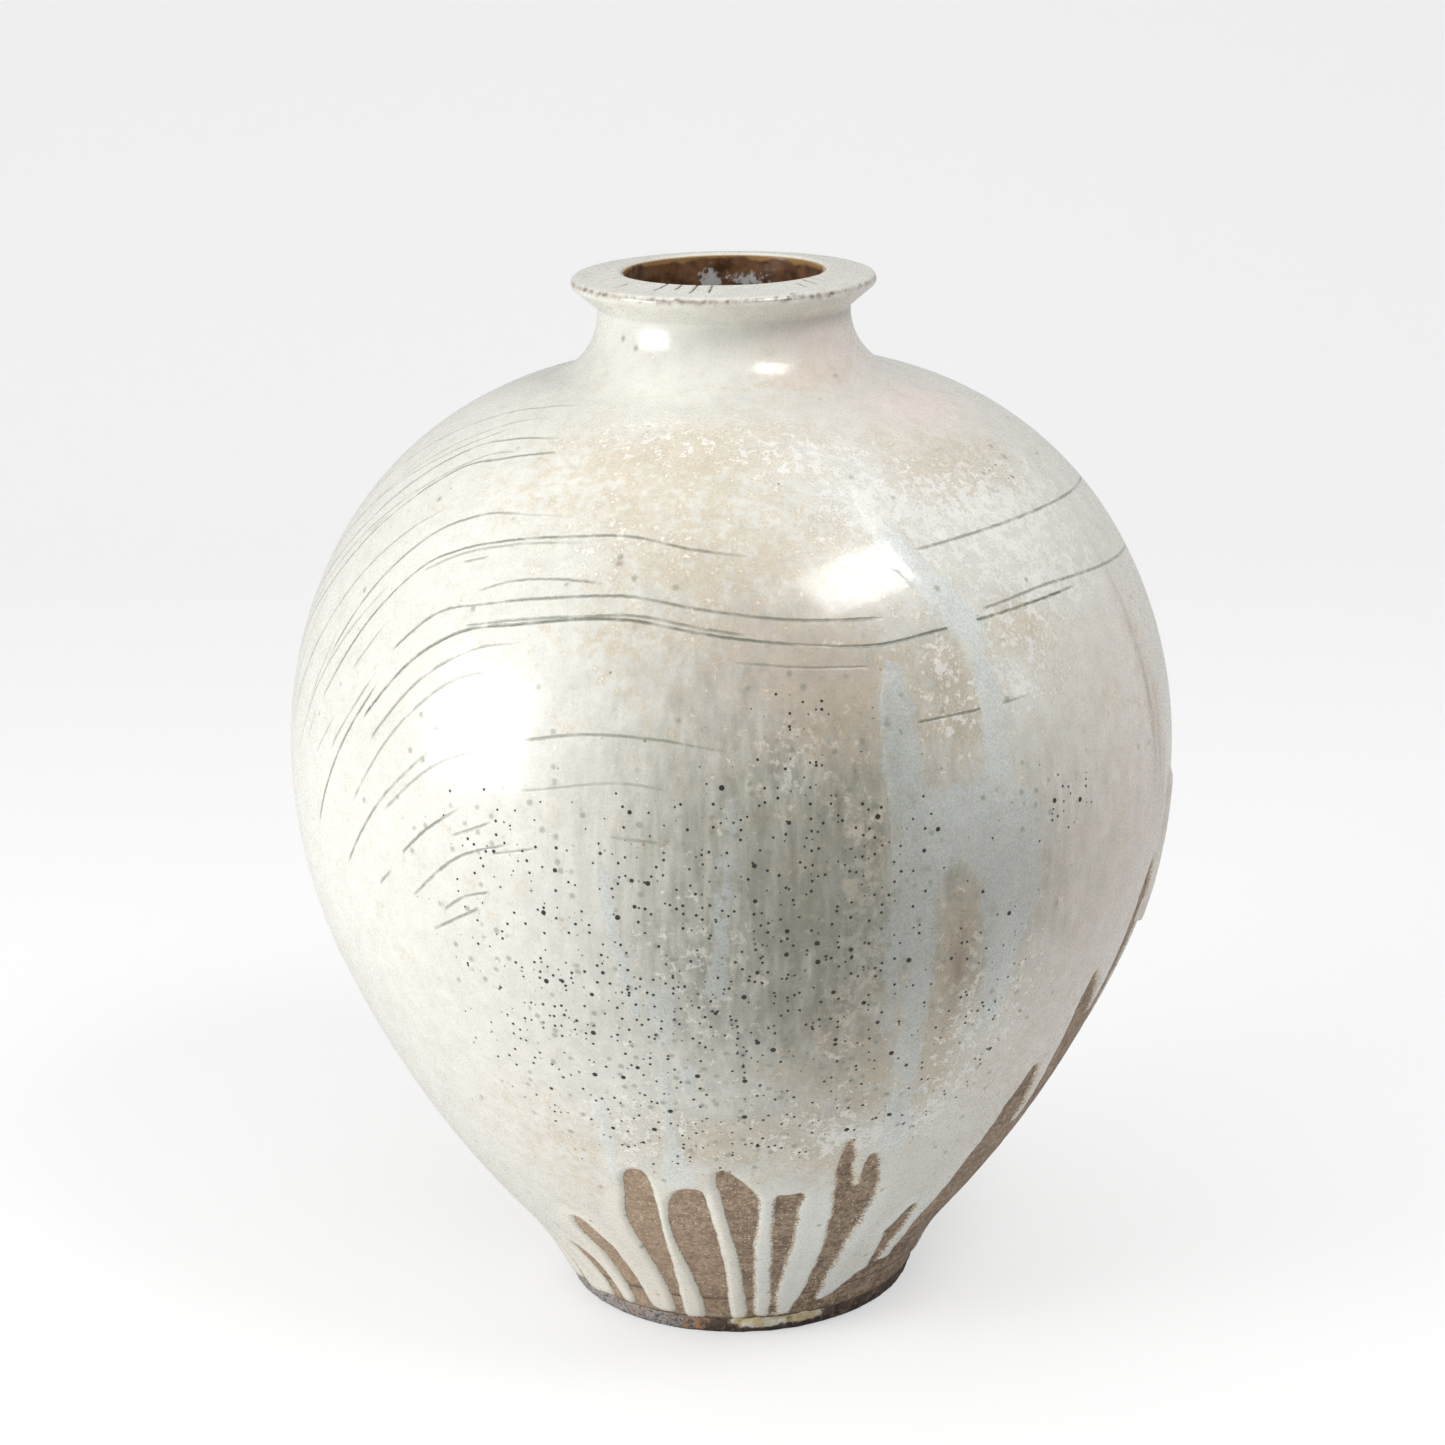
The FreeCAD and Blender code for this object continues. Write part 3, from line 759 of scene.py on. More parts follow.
# What the comb left: sweeps that climb the left shoulder and run on to the right
COMB_STROKES = tuple(Stroke(*stroke) for stroke in (
    (((-100, 318), (-88, 366), (-78, 393), (-68.6, 404.5), (-57, 409.5), (-45, 412)), 0.55, 6, 10),
    (((-100, 290), (-88, 336), (-78, 369), (-67.4, 391), (-57, 403.5)), 0.5, 6, 4),
    (((-97, 276), (-87, 315), (-78, 349), (-68, 383), (-61.3, 395), (-53.6, 399.7), (-40, 403)),
      0.8, 6),
    (((-90, 280), (-82, 312), (-74.7, 340), (-69.1, 361.5), (-59.7, 386.5), (-49.1, 394.6),
      (-36.9, 399.4)), 0.85, 6, 3),
    (((-71.5, 358), (-70.2, 361.5), (-66.1, 378)), 0.5),
    (((-95, 300), (-84, 349), (-73, 386), (-62, 402), (-50, 408)), 0.4, 6, 6),
    (((-86, 300), (-76, 346), (-66, 376), (-56, 393), (-46, 398)), 0.5, 4, 6),
    (((-80, 262), (-73, 306), (-66.5, 340), (-59, 365), (-52, 378)), 0.55, 3, 6),
    (((-73, 262), (-67, 300), (-61, 328), (-55, 350)), 0.5, 3, 4),
    (((-65.5, 312), (-60.2, 341.5), (-53.6, 364), (-44.7, 376.3), (-33.6, 379.6), (-22.4, 380.4)),
      0.85, 1.5, 24),
    (((-64.7, 295), (-55.8, 339), (-49.7, 357.5), (-44.7, 364.2), (-35.8, 370.5), (-24.7, 374.2),
      (-15.2, 375.4), (-5.8, 371.9), (5.6, 368.5)), 1.0, 1.5, 10),
    (((-50, 354.5), (-44.7, 362.2), (-35.8, 368.8), (-20, 373.2)), 0.6, 1, 8),
    (((28.4, 366.7), (40, 368.6), (65, 369.6), (80, 368), (110, 362), (140, 368), (170, 374)),
      0.85, 1, 12),
    (((-42.7, 360.7), (-38, 364.5)), 0.7, 1, 1),
    (((-37.6, 352.4), (-33.6, 356.6), (-29.1, 359), (-23.6, 360), (-17, 359.5)), 0.85, 1, 4),
    (((-50.2, 324.4), (-44.7, 339.8), (-34.7, 349), (-24.7, 353.6), (-13.6, 355.6), (-4.1, 351.9),
      (8.75, 347.4), (21.5, 345.4)), 1.0, 1, 3),
    (((-63.9, 243), (-56.9, 283.3), (-50.8, 313)), 1.0, 1, 1.5),
    (((-53, 296), (-45.8, 322.6), (-39.1, 336.2), (-29.1, 343.2), (-13, 347.6), (-3.6, 343.5),
      (8.75, 338.9), (19.4, 336.5), (28.75, 338.7), (49.4, 341.5), (56.5, 341.8)), 1.2, 1, 3),
    (((-38, 339.9), (-29.1, 344.9), (-20, 348), (-13, 349.3), (-3.6, 345.3), (3, 342.4)),
      0.9, 1, 3),
    (((36.4, 343.2), (50, 345.7), (57.5, 344.9), (76.25, 341), (105, 334), (135, 342), (160, 345)),
      0.8, 1, 14),
    (((-50.8, 289), (-43.6, 316), (-35.8, 331.6), (-27, 338)), 0.85, 1, 8),
    (((-53.6, 262), (-45.8, 297), (-38, 318.9), (-30, 327)), 0.7, 1, 4),
    (((-55.9, 233), (-48, 265.4), (-39.2, 293)), 0.95, 1, 3),
    (((-47, 263), (-39.1, 285.3), (-30.5, 297.5)), 0.75, 1, 5),
    (((-43.9, 247), (-39.7, 259.4), (-33.2, 274)), 1.0, 0.6, 4),
    (((-35.6, 259.8), (-29.4, 268.7)), 0.8, 1, 1),
    (((-42.6, 229.6), (-34.7, 251.3), (-27, 261)), 0.95, 1, 1.5),
    (((-29.6, 255.6), (-23, 261)), 0.7, 0.6, 2),
    (((-48.9, 229.8), (-46, 238.4)), 0.8, 0.6, 0.6),
    (((-37.4, 227.6), (-34.1, 235), (-29.8, 239.8)), 0.85, 0.6, 1),
    (((-39.6, 217.4), (-31.6, 232.2)), 0.95, 0.6, 1),
    (((-27.4, 301), (-18, 306.2), (-9.1, 305.7), (1, 300.4)), 0.8, 3, 6),
    (((22.9, 307.1), (31.25, 308), (42, 309.5)), 1.0, 0.6, 8),
    (((-26.3, 282.4), (-11.3, 288.6), (-6.5, 286.3)), 0.5, 2, 3),
    (((-14.7, 268.2), (-8.2, 266.3)), 0.7, 1, 1),
    (((-69.1, 289), (-64.1, 332.5)), 0.45, 1, 3),
    (((-68.6, 273.4), (-64.7, 299)), 0.4, 1, 3),
    (((-64.7, 272), (-59.4, 294)), 0.5, 1, 2),
    (((-60, 278.4), (-52, 315)), 0.7, 1, 2),
    (((-57.9, 312), (-52.8, 335)), 0.55, 1, 2),
    (((0, 333.6), (10.6, 330.4), (18, 329.2)), 0.6, 2, 1),
    (((-84, 262), (-78, 301), (-74.4, 344)), 0.5, 3, 2),
    (((-76.3, 278), (-70.6, 325)), 0.45, 1, 3),
    (((176, 330), (190, 352), (210, 372), (232, 382), (252, 378), (268, 366)), 0.8, 2, 10),
    (((182, 306), (196, 334), (214, 354), (236, 364), (258, 356)), 0.9, 2, 8),
    (((188, 282), (203, 314), (222, 334), (246, 340)), 0.8, 2, 8),
    (((196, 262), (212, 294), (230, 312), (250, 316)), 0.7, 2, 8),
))

# Drying cracks on top of the rim: azimuth, and how far they run in from the edge and to where
RIM_CRACKS = ((-51.0, 6.0, 12.0), (-31.0, 8.5, 19.0), (-22.5, 12.0, 18.0), (-14.0, 8.0, 20.5),
              (-6.0, 9.0, 18.0), (38.0, 9.0, 14.0), (45.5, 10.0, 17.0), (53.0, 12.0, 20.0),
              (58.0, 8.0, 13.0), (112.0, 8.0, 15.0), (171.0, 9.0, 18.0), (-128.0, 7.0, 15.0),
              (-70.0, 9.0, 16.0))


@dataclass
class GlazeMap:
    """Thickness and colour of the outer glaze at every place on the wall."""

    wall: Wall
    windows: tuple[Blot, ...] = FRONT_WINDOWS + BACK_WINDOWS
    ash: tuple[Blot, ...] = (ASH_FRONT, ASH_SHOULDER, ASH_MERGED) + ASH_OTHERS + ASH_BACK
    coat_mm: float = 1.2
    run_mm: float = 1.5
    rise_mm: float = 1.7
    roll_mm: float = 0.22
    roll_at_mm: float = 2.2
    roll_width_mm: float = 1.3
    sunk_mm: float = -0.5
    ash_full_mm: float = 3.6
    ash_proud_mm: float = 0.16
    uneven_mm: float = 0.1
    ends_mm: float = 9.4
    drip_mm: float = 2.8
    drip_row: float = 0.1
    end_round_mm: float = 1.5
    worn_mm: float = 0.55
    ragged: Grain = Grain(11, 2.2, 0.0055, 3)
    sway: Grain = Grain(23, 9.0, 0.022, 2)
    drift: Grain = Grain(37, 24.0, 0.06, 3)
    foot_drip: Grain = Grain(41, 7.0, 0.2, 2)
    broken: Grain = Grain(101, 1.6, 0.002, 3)

    def __post_init__(self) -> None:
        """Sets out the comb marks on the wall."""
        self.comb = CombMarks(COMB_STROKES, self.wall)

    def glazed_mm(self, theta: Array, s: Array) -> Array:
        """How far places lie from bare clay.

        The lesser of the ways to the windows and to the streams' ends, rounded where they
        meet: less a length times the log of the sum of the exponentials of both over it. The
        edges are ragged, and toothed on the right of the front.

        Args:
            theta: Azimuths.
            s: Lengths.

        Returns:
            Millimetres, below 0 on bare clay.
        """
        across = azimuth_gap(theta, 0.0)
        toothed = 0.45 + 0.8 * ease(3.0, 9.0, across) * ease(90.0, 60.0, across)
        edge = toothed * self.ragged.at(theta, s) + 0.5 * self.sway.at(theta, s)
        bare = deepest(self.windows, self.wall, theta, s)
        drips = self.foot_drip.at(theta, self.drip_row)
        low = self.wall.up_to(self.ends_mm + self.drip_mm * drips)
        soft = self.end_round_mm
        return -soft * np.logaddexp(bare / soft, (low - s) / MM / soft) + edge

    def ash_mm(self, theta: Array, s: Array) -> Array:
        """Depth of places in the ash runs in millimetres, capped where they are full."""
        return np.minimum(deepest(self.ash, self.wall, theta, s), self.ash_full_mm)

    def lift(self, theta: Array, s: Array) -> Array:
        """Thickness of the coat.

        It rises from bare clay as one less a falling exponential, with a rolled rim 2 mm in
        where the streams are, and sinks below the clay where it is bare.

        Args:
            theta: Azimuths.
            s: Lengths.

        Returns:
            Metres out from the clay.
        """
        away = self.glazed_mm(theta, s)
        thick = self.run_mm * (1 - np.exp(-np.maximum(away, 0) / self.rise_mm))
        roll = self.roll_mm * bell(away - self.roll_at_mm, self.roll_width_mm)
        settled = ease(4.0, FAR_MM, away)
        full = thick + roll + settled * (self.coat_mm - self.run_mm)
        full = full + self.ash_proud_mm * ease(-1.0, 2.0, self.ash_mm(theta, s)) * settled
        full = full + self.uneven_mm * self.drift.at(theta, s) * settled
        return np.where(away > 0, full, np.maximum(0.6 * away, self.sunk_mm)) * MM

    def worn_edge(self, theta: Array, s: Array) -> Array:
        """Broken brown line where the glaze drew back from the rim's outer edge.

        Args:
            theta: Azimuths.
            s: Lengths.

        Returns:
            Values from 0 to 1.
        """
        away = (s - self.wall.up_to(RIM_LINE_MM)) / MM + 0.5 * self.ragged.at(theta, s)
        held = 0.35 + 0.75 * ease(-0.3, 0.3, self.broken.at(theta, s))
        return held * bell(away, self.worn_mm)

    def patches(self, theta: Array, s: Array) -> dict[Channel, Array]:
        """Soft patches of colour, pits and flecks at places."""
        return {channel: clouded(clouds, self.wall, theta, s) + least
                for channel, (clouds, least) in PATCHES.items()}

    def channels(self, theta: Array, s: Array) -> dict[Channel, Array]:
        """Everything that the glaze's finish reads.

        The soft patches are looked up at places pushed aside by smooth fields, so that their
        outlines wander.

        Args:
            theta: Azimuths of the columns.
            s: Lengths of the rows.

        Returns:
            Arrays of rows and columns, and of three numbers each for the comb marks.
        """
        across, up = np.meshgrid(theta, s)
        push = 0.5 * self.drift.at(across + 90.0, up)
        lean = push * self.sway.at(across, up + 0.3)
        brown = clouded(BROWN_CLOUDS, self.wall, across, up)
        near, mark = self.comb.at(theta, s)
        half = self.comb.groups // 2
        return {
            Channel.BARE: np.clip(self.glazed_mm(across, up), -FAR_MM, FAR_MM),
            Channel.ASH: self.ash_mm(across, up),
            **self.patches(across + 2.5 * push, up + 7.0 * MM * lean),
            Channel.BROWN: np.maximum(brown, self.worn_edge(across, up)),
            Channel.NEAR_A: near[..., :half],
            Channel.NEAR_B: near[..., half:],
            Channel.MARK_A: mark[..., :half],
            Channel.MARK_B: mark[..., half:],
        }


def turned_normals(points: Array) -> Array:
    """Normals of a surface that goes all the way round: the way round crossed with the way up.

    Args:
        points: Rows and columns of x, y and z.

    Returns:
        A normal of length 1 for each point.
    """
    around = np.roll(points, -1, 1) - np.roll(points, 1, 1)
    up = np.gradient(points, axis=0)
    normal = np.cross(around, up)
    return normal / np.linalg.norm(normal, axis=-1, keepdims=True)


def turned_faces(rows: int, columns: int, closure: Closure) -> list[tuple[int, ...]]:
    """Corner numbers of the faces between rows of points that go all the way round.

    Args:
        rows: How many rows.
        columns: Points in a row.
        closure: With POLES, two more points follow the rows: the first and the last pole.

    Returns:
        The faces, facing away from the wall's inside.
    """
    last = rows if closure is Closure.RING else rows - 1
    row, column = np.meshgrid(np.arange(last), np.arange(columns), indexing="ij")
    here, ahead = row * columns, (row + 1) % rows * columns
    beside = (column + 1) % columns
    quads = np.stack([here + column, here + beside, ahead + beside, ahead + column], -1)
    faces = quads.reshape(-1, 4).tolist()
    if closure is Closure.POLES:
        first, final = rows * columns, rows * columns + 1
        top = (rows - 1) * columns
        faces += [(first, (c + 1) % columns, c) for c in range(columns)]
        faces += [(final, top + c, top + (c + 1) % columns) for c in range(columns)]
    return faces


def make_piece(name: str, points: Array, faces: list[tuple[int, ...]],
               normals: Array | None = None) -> Piece:
    """New mesh object in the scene, smooth, at the origin.

    Args:
        name: Its name.
        points: Points, the last axis being x, y and z.
        faces: Corner numbers.
        normals: Normals of the points, where neighbours have to match across a join.

    Returns:
        The object.
    """
    mesh = bpy.data.meshes.new(name)
    mesh.from_pydata(points.reshape(-1, 3).tolist(), [], faces)
    mesh.shade_smooth()
    mesh.update()
    if normals is not None:
        mesh.normals_split_custom_set_from_vertices(normals.reshape(-1, 3).tolist())
    piece = bpy.data.objects.new(name, mesh)
    bpy.context.scene.collection.objects.link(piece)
    return piece


def carry(piece: Piece, channel: Channel, values: Array) -> None:
    """Stores a channel at the points of a piece, one number each or rows of three."""
    kind, part = ("FLOAT", "value") if values.ndim == 1 else ("FLOAT_VECTOR", "vector")
    piece.data.attributes.new(channel.value, kind, "POINT").data.foreach_set(
        part, values.astype(np.float32).ravel())


def wear(piece: Piece, finish: Finish) -> None:
    """Gives a piece one finish."""
    piece.data.materials.clear()
    piece.data.materials.append(finish)


def settle(piece: Piece, finish: Finish, slot: Slot, *nodes: str) -> None:
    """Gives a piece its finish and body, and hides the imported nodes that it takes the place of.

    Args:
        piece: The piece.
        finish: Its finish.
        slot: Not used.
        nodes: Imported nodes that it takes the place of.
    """
    wear(piece, finish)
    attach(piece, BODY)
    if nodes:
        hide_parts(*nodes)
    LOG.info("%s: %d points", piece.name, len(piece.data.vertices))


class Sheet:
    """Node sheet of a finish or of the room, with short ways to add what they share."""

    def __init__(self, owner: Finish | bpy.types.World) -> None:
        """Empties the sheet and starts it with the coordinates.

        Args:
            owner: The finish or world whose sheet it is.
        """
        self.owner = owner
        owner.use_nodes = True
        self.nodes = owner.node_tree.nodes
        self.links = owner.node_tree.links
        self.nodes.clear()
        self.coordinates = self.node("TexCoord").outputs
        self.place = self.coordinates["Object"]

    def node(self, kind: str, inputs: dict | None = None, **settings: object) -> bpy.types.Node:
        """New node.

        Args:
            kind: Its type, without the words that all shader nodes start with.
            inputs: Sockets to link, or plain values to set, by the input's name or number.
            settings: Its settings.

        Returns:
            The node.
        """
        made = self.nodes.new("ShaderNode" + kind)
        for key, value in settings.items():
            setattr(made, key, value)
        for key, value in (inputs or {}).items():
            if isinstance(value, Socket):
                self.links.new(value, made.inputs[key])
            else:
                made.inputs[key].default_value = value
        return made

    def math(self, operation: str, *values: object, clamp: bool = False) -> Socket:
        """Arithmetic on one to three numbers."""
        return self.node("Math", dict(enumerate(values)), operation=operation,
                         use_clamp=clamp).outputs[0]

    def times(self, first: object, second: object, clamp: bool = False) -> Socket:
        """One number times another."""
        return self.math("MULTIPLY", first, second, clamp=clamp)

    def less(self, first: object, second: object) -> Socket:
        """One number less another."""
        return self.math("SUBTRACT", first, second)

    def scaled(self, value: object, gain: object, base: object) -> Socket:
        """A number times a gain, plus a base."""
        return self.math("MULTIPLY_ADD", value, gain, base)

    def stirred(self, noise: Socket, gain: float, base: object) -> Socket:
        """A base plus a gain times how far a noise is from its middle."""
        return self.scaled(self.less(noise, 0.5), gain, base)

    def vector(self, operation: str, *values: object, out: int = 0) -> Socket:
        """Arithmetic on vectors."""
        return self.node("VectorMath", dict(enumerate(values)),
                         operation=operation).outputs[out]

    def threefold(self, value: Socket) -> Socket:
        """One number three times over, as a vector."""
        return self.node("CombineXYZ", {0: value, 1: value, 2: value}).outputs[0]

    def axis(self, axis: Axis) -> Socket:
        """One coordinate of the place on the object."""
        return self.node("SeparateXYZ", {0: self.place}).outputs[axis.value]

    def step(self, low: float, high: float, value: object, top: float = 1.0) -> Socket:
        """Smooth step from 0 at low to top at high."""
        inputs = {"Value": value, "From Min": low, "From Max": high, "To Min": 0.0, "To Max": top}
        return self.node("MapRange", inputs,
                         interpolation_type="SMOOTHSTEP").outputs["Result"]

    def channel(self, channel: Channel, part: str = "Fac") -> Socket:
        """What the surface carries."""
        return self.node("Attribute", attribute_name=channel.value).outputs[part]

    def stretched(self, x: float, y: float, z: float) -> Socket:
        """Places on the object with each axis multiplied."""
        return self.vector("MULTIPLY", self.place, (x, y, z))

    def noise(self, size: float, detail: float = 3.0, roughness: float = 0.55,
              place: Socket | None = None, shift: float = 0.0) -> Socket:
        """Cloudy noise.

        Args:
            size: Size of its lumps in metres.
            detail: How many finer layers it has.
            roughness: How strong they are.
            place: Where it is looked up, else at the place on the object.
            shift: Moves it.

        Returns:
            About 0 to 1.
        """
        where = place or self.place
        if shift:
            where = self.vector("ADD", where, (shift, 0.7 * shift, -shift))
        inputs = {"Vector": where, "Scale": 1.0 / size, "Detail": detail, "Roughness": roughness}
        return self.node("TexNoise", inputs).outputs["Fac"]

    def cells(self, size: float, shift: float = 0.0) -> tuple[Socket, Socket]:
        """Scattered points.

        Args:
            size: Their spacing in metres.
            shift: Moves them.

        Returns:
            Distance to the nearest in metres, and a random number for it.
        """
        where = self.vector("ADD", self.place, (shift, -shift, shift)) if shift else self.place
        made = self.node("TexVoronoi", {"Vector": where, "Scale": 1.0 / size})
        chance = self.node("SeparateColor", {"Color": made.outputs["Color"]}).outputs[0]
        return self.times(made.outputs["Distance"], size), chance

    def specks(self, size: float, share: float, edge: tuple[float, float], top: float,
               shift: float = 0.0) -> Socket:
        """Round specks at some of the scattered points.

        Args:
            size: Spacing in metres.
            share: How many of the points have one.
            edge: How far from the point it ends, and how far it is full.
            top: How strong it is.
            shift: Moves the pattern.

        Returns:
            0 to top.
        """
        away, chance = self.cells(size, shift)
        return self.times(self.math("LESS_THAN", chance, share), self.step(*edge, away, top))

    def mix(self, share: object, first: object, second: object) -> Socket:
        """Colour between two.

        Args:
            share: How much of the second.
            first: Socket or colour.
            second: Socket or colour.

        Returns:
            The colour.
        """
        feeds = {key: (*value, 1.0) if isinstance(value, tuple) else value
                 for key, value in ((0, share), (6, first), (7, second))}
        return self.node("Mix", feeds, data_type="RGBA", clamp_factor=True).outputs[2]

    def finish(self, colour: object, roughness: object, height: Socket,
               **constants: float) -> Finish:
        """Closes the sheet with one shader.

        Args:
            colour: Colour of the surface.
            roughness: How matt it is.
            height: Its fine relief in millimetres.
            constants: Other sockets of the shader, by name with underscores.

        Returns:
            The finish.
        """
        relief = self.node("Bump", {"Height": height, "Distance": MM}).outputs[0]
        shader = self.node("BsdfPrincipled",
                           {"Base Color": colour, "Roughness": roughness, "Normal": relief})
        for key, value in constants.items():
            shader.inputs[key.replace("_", " ")].default_value = value
        self.node("OutputMaterial", {"Surface": shader.outputs[0]})
        return self.owner


def new_sheet(name: str) -> Sheet:
    """Sheet of a new finish."""
    return Sheet(bpy.data.materials.new(name))


@dataclass(frozen=True)
class Curdle:
    """Noises that the parts of the glaze share: grain, curd, lumps, drawn-out lumps, streaks."""

    fine: Socket
    curd: Socket
    broad: Socket
    drawn: Socket
    streaks: Socket


@dataclass(frozen=True)
class GlazeFinish:
    """Cream ash glaze: curdled white over tan, grey where it is thin, pitted and combed."""

    cream: Colour = srgb(218, 217, 208)
    grey: Colour = srgb(127, 125, 111)
    tan: Colour = srgb(203, 192, 170)
    tan_deep: Colour = srgb(152, 142, 122)
    pink: Colour = srgb(233, 217, 208)
    fleck: Colour = srgb(234, 234, 229)
    ash: Colour = srgb(212, 216, 213)
    ash_bright: Colour = srgb(229, 231, 227)
    deep: Colour = srgb(178, 178, 175)
    clay: Colour = srgb(138, 119, 101)
    celadon: Colour = srgb(182, 188, 172)
    stream: Colour = srgb(236, 231, 216)
    stream_right: Colour = srgb(232, 235, 231)
    toasted: Colour = srgb(200, 168, 112)
    iron: Colour = srgb(104, 78, 54)
    scratch: Colour = srgb(112, 115, 100)
    pit: Colour = srgb(34, 29, 23)
    mist: Colour = srgb(118, 124, 106)
    scratch_mm: float = 0.8

    def noises(self, sheet: Sheet) -> Curdle:
        """Adds the noises.

        Args:
            sheet: Where to add them.

        Returns:
            The noises.
        """
        fine = sheet.noise(1.1 * MM, 3, 0.6)
        curd = sheet.noise(4.2 * MM, 4, 0.62)
        broad = sheet.noise(16 * MM, 3, 0.5)
        drawn = sheet.noise(7 * MM, 3, 0.6, sheet.stretched(1, 1, 0.28))
        streaks = sheet.noise(3.4 * MM, 3, 0.55, sheet.stretched(1, 1, 0.13))
        return Curdle(fine, curd, broad, drawn, streaks)

    def ground(self, sheet: Sheet, noise: Curdle) -> Socket:
        """Ground of the coat: cream, grey and veined where it is thin, tan, pink and rust.

        Args:
            sheet: Where to add it.
            noise: The glaze's noises.

        Returns:
            The colour.
        """
        cloudy = sheet.stirred(noise.curd, 2.6, sheet.scaled(noise.broad, 0.8, -0.32))
        tan_here = sheet.math("ADD", sheet.channel(Channel.TAN), cloudy)
        veined = sheet.scaled(noise.streaks, 0.5, sheet.scaled(noise.drawn, 0.5, -0.5))
        veined = sheet.times(veined, sheet.scaled(sheet.channel(Channel.GREY), 1.2, 0.35))
        grey_here = sheet.math("ADD", sheet.channel(Channel.GREY), veined)
        colour = sheet.mix(sheet.step(-0.05, 1.05, grey_here), self.cream, self.grey)
        tan = sheet.mix(sheet.channel(Channel.GREY), self.tan, self.tan_deep)
        colour = sheet.mix(sheet.step(0.1, 0.95, tan_here, 0.92), colour, tan)
        colour = sheet.mix(sheet.times(sheet.channel(Channel.PINK), 0.7), colour, self.pink)
        uneven = sheet.math("ADD", sheet.step(0.35, 0.7, noise.drawn, 0.45), 0.55)
        return sheet.mix(sheet.times(sheet.channel(Channel.BROWN), uneven), colour, self.iron)

    def flecks(self, sheet: Sheet, noise: Curdle) -> Socket:
        """Share of white flecks: where curd and grain pass a limit, less on grey ground.

        Args:
            sheet: Where to add it.
            noise: The glaze's noises.

        Returns:
            0 to 0.82.
        """
        limit = sheet.less(0.71, sheet.times(sheet.channel(Channel.FLECK), 0.34))
        spotty = sheet.stirred(noise.fine, 0.35, noise.curd)
        found = sheet.step(-0.07, 0.07, sheet.less(spotty, limit), 0.82)
        return sheet.times(found, sheet.step(1.15, 0.1, sheet.channel(Channel.GREY)))

    def thick_ash(self, sheet: Sheet, noise: Curdle) -> tuple[Socket, Socket]:
        """Thick blue-white ash: its depth, made ragged by every noise, and its grainy colour.

        Args:
            sheet: Where to add it.
            noise: The glaze's noises.

        Returns:
            Share from 0 to 0.9, and colour.
        """
        ragged = sheet.channel(Channel.ASH)
        for part, gain in ((noise.curd, 5.0), (noise.broad, 11.0), (noise.streaks, 12.0),
                           (noise.fine, 3.0)):
            ragged = sheet.stirred(part, gain, ragged)
        share = sheet.times(sheet.step(-1.6, 2.0, ragged, 0.9), sheet.step(0.22, 0.5, noise.curd))
        grainy = sheet.mix(sheet.step(0.35, 0.7, noise.fine), self.ash, self.ash_bright)
        deep = sheet.times(sheet.channel(Channel.GREY), 1.15, clamp=True)
        return share, sheet.vector("MULTIPLY", grainy, sheet.mix(deep, (1.0,) * 3, self.deep))

    def margins(self, sheet: Sheet, noise: Curdle, colour: Socket) -> Socket:
        """Streams and window edges: whiter streams, a celadon line, a toasted halo, bare clay.

        Args:
            sheet: Where to add them.
            noise: The glaze's noises.
            colour: The coat's colour.

        Returns:
            The colour with them.
        """
        right = sheet.step(-8 * MM, 14 * MM, sheet.axis(Axis.ACROSS))
        teeth = sheet.noise(1.3 * MM, 2, 0.6, sheet.stretched(1, 1, 2.2), 2.6)
        bitten = sheet.times(sheet.less(teeth, 0.43), sheet.scaled(right, 6.5, 1.5))
        margin = sheet.less(sheet.channel(Channel.BARE), bitten)
        stream = sheet.mix(right, self.stream, self.stream_right)
        low = sheet.step(112 * MM, 78 * MM, sheet.axis(Axis.UP))
        low = sheet.times(low, sheet.scaled(sheet.step(0.35, 0.6, noise.broad), 0.35, 0.65))
        colour = sheet.mix(sheet.times(sheet.step(12.0, 4.0, margin, 0.7), low), colour, stream)
        colour = sheet.mix(sheet.step(1.2, 0.1, margin, 0.4), colour, self.celadon)
        halo = sheet.times(sheet.step(1.5, 0.2, margin, 0.75), sheet.step(0.36, 0.56, noise.broad))
        colour = sheet.mix(sheet.times(halo, right), colour, self.toasted)
        return sheet.mix(sheet.step(0.15, -0.1, margin), colour, self.clay)

    def scratches(self, sheet: Sheet) -> Socket:
        """How deep in a comb scratch places are.

        For each group it is one less the square of the distance over half the width, times the
        stroke's depth, all added up and broken by a noise.

        Args:
            sheet: Where to add it.

        Returns:
            0 outside, about 1 in the middle of a scratch.
        """
        wander = sheet.times(sheet.less(sheet.noise(3.2 * MM, 2), 0.5), 0.7)
        parts = []
        for near, mark in ((Channel.NEAR_A, Channel.MARK_A), (Channel.NEAR_B, Channel.MARK_B)):
            away = sheet.vector("ADD", sheet.channel(near, "Vector"), sheet.threefold(wander))
            share = sheet.vector("MULTIPLY", away, (1 / self.scratch_mm,) * 3)
            share = sheet.vector("MULTIPLY", share, share)
            share = sheet.vector("SUBTRACT", (1.0,) * 3, share)
            share = sheet.vector("MAXIMUM", share, (0.0,) * 3)
            share = sheet.vector("MULTIPLY", share, sheet.channel(mark, "Vector"))
            parts.append(sheet.vector("DOT_PRODUCT", share, (1.0,) * 3, out=1))
        total = sheet.math("ADD", *parts)
        broken = sheet.step(0.30, 0.56, sheet.noise(9 * MM, 3, shift=0.4))
        return sheet.times(total, sheet.scaled(broken, 0.55, 0.45))

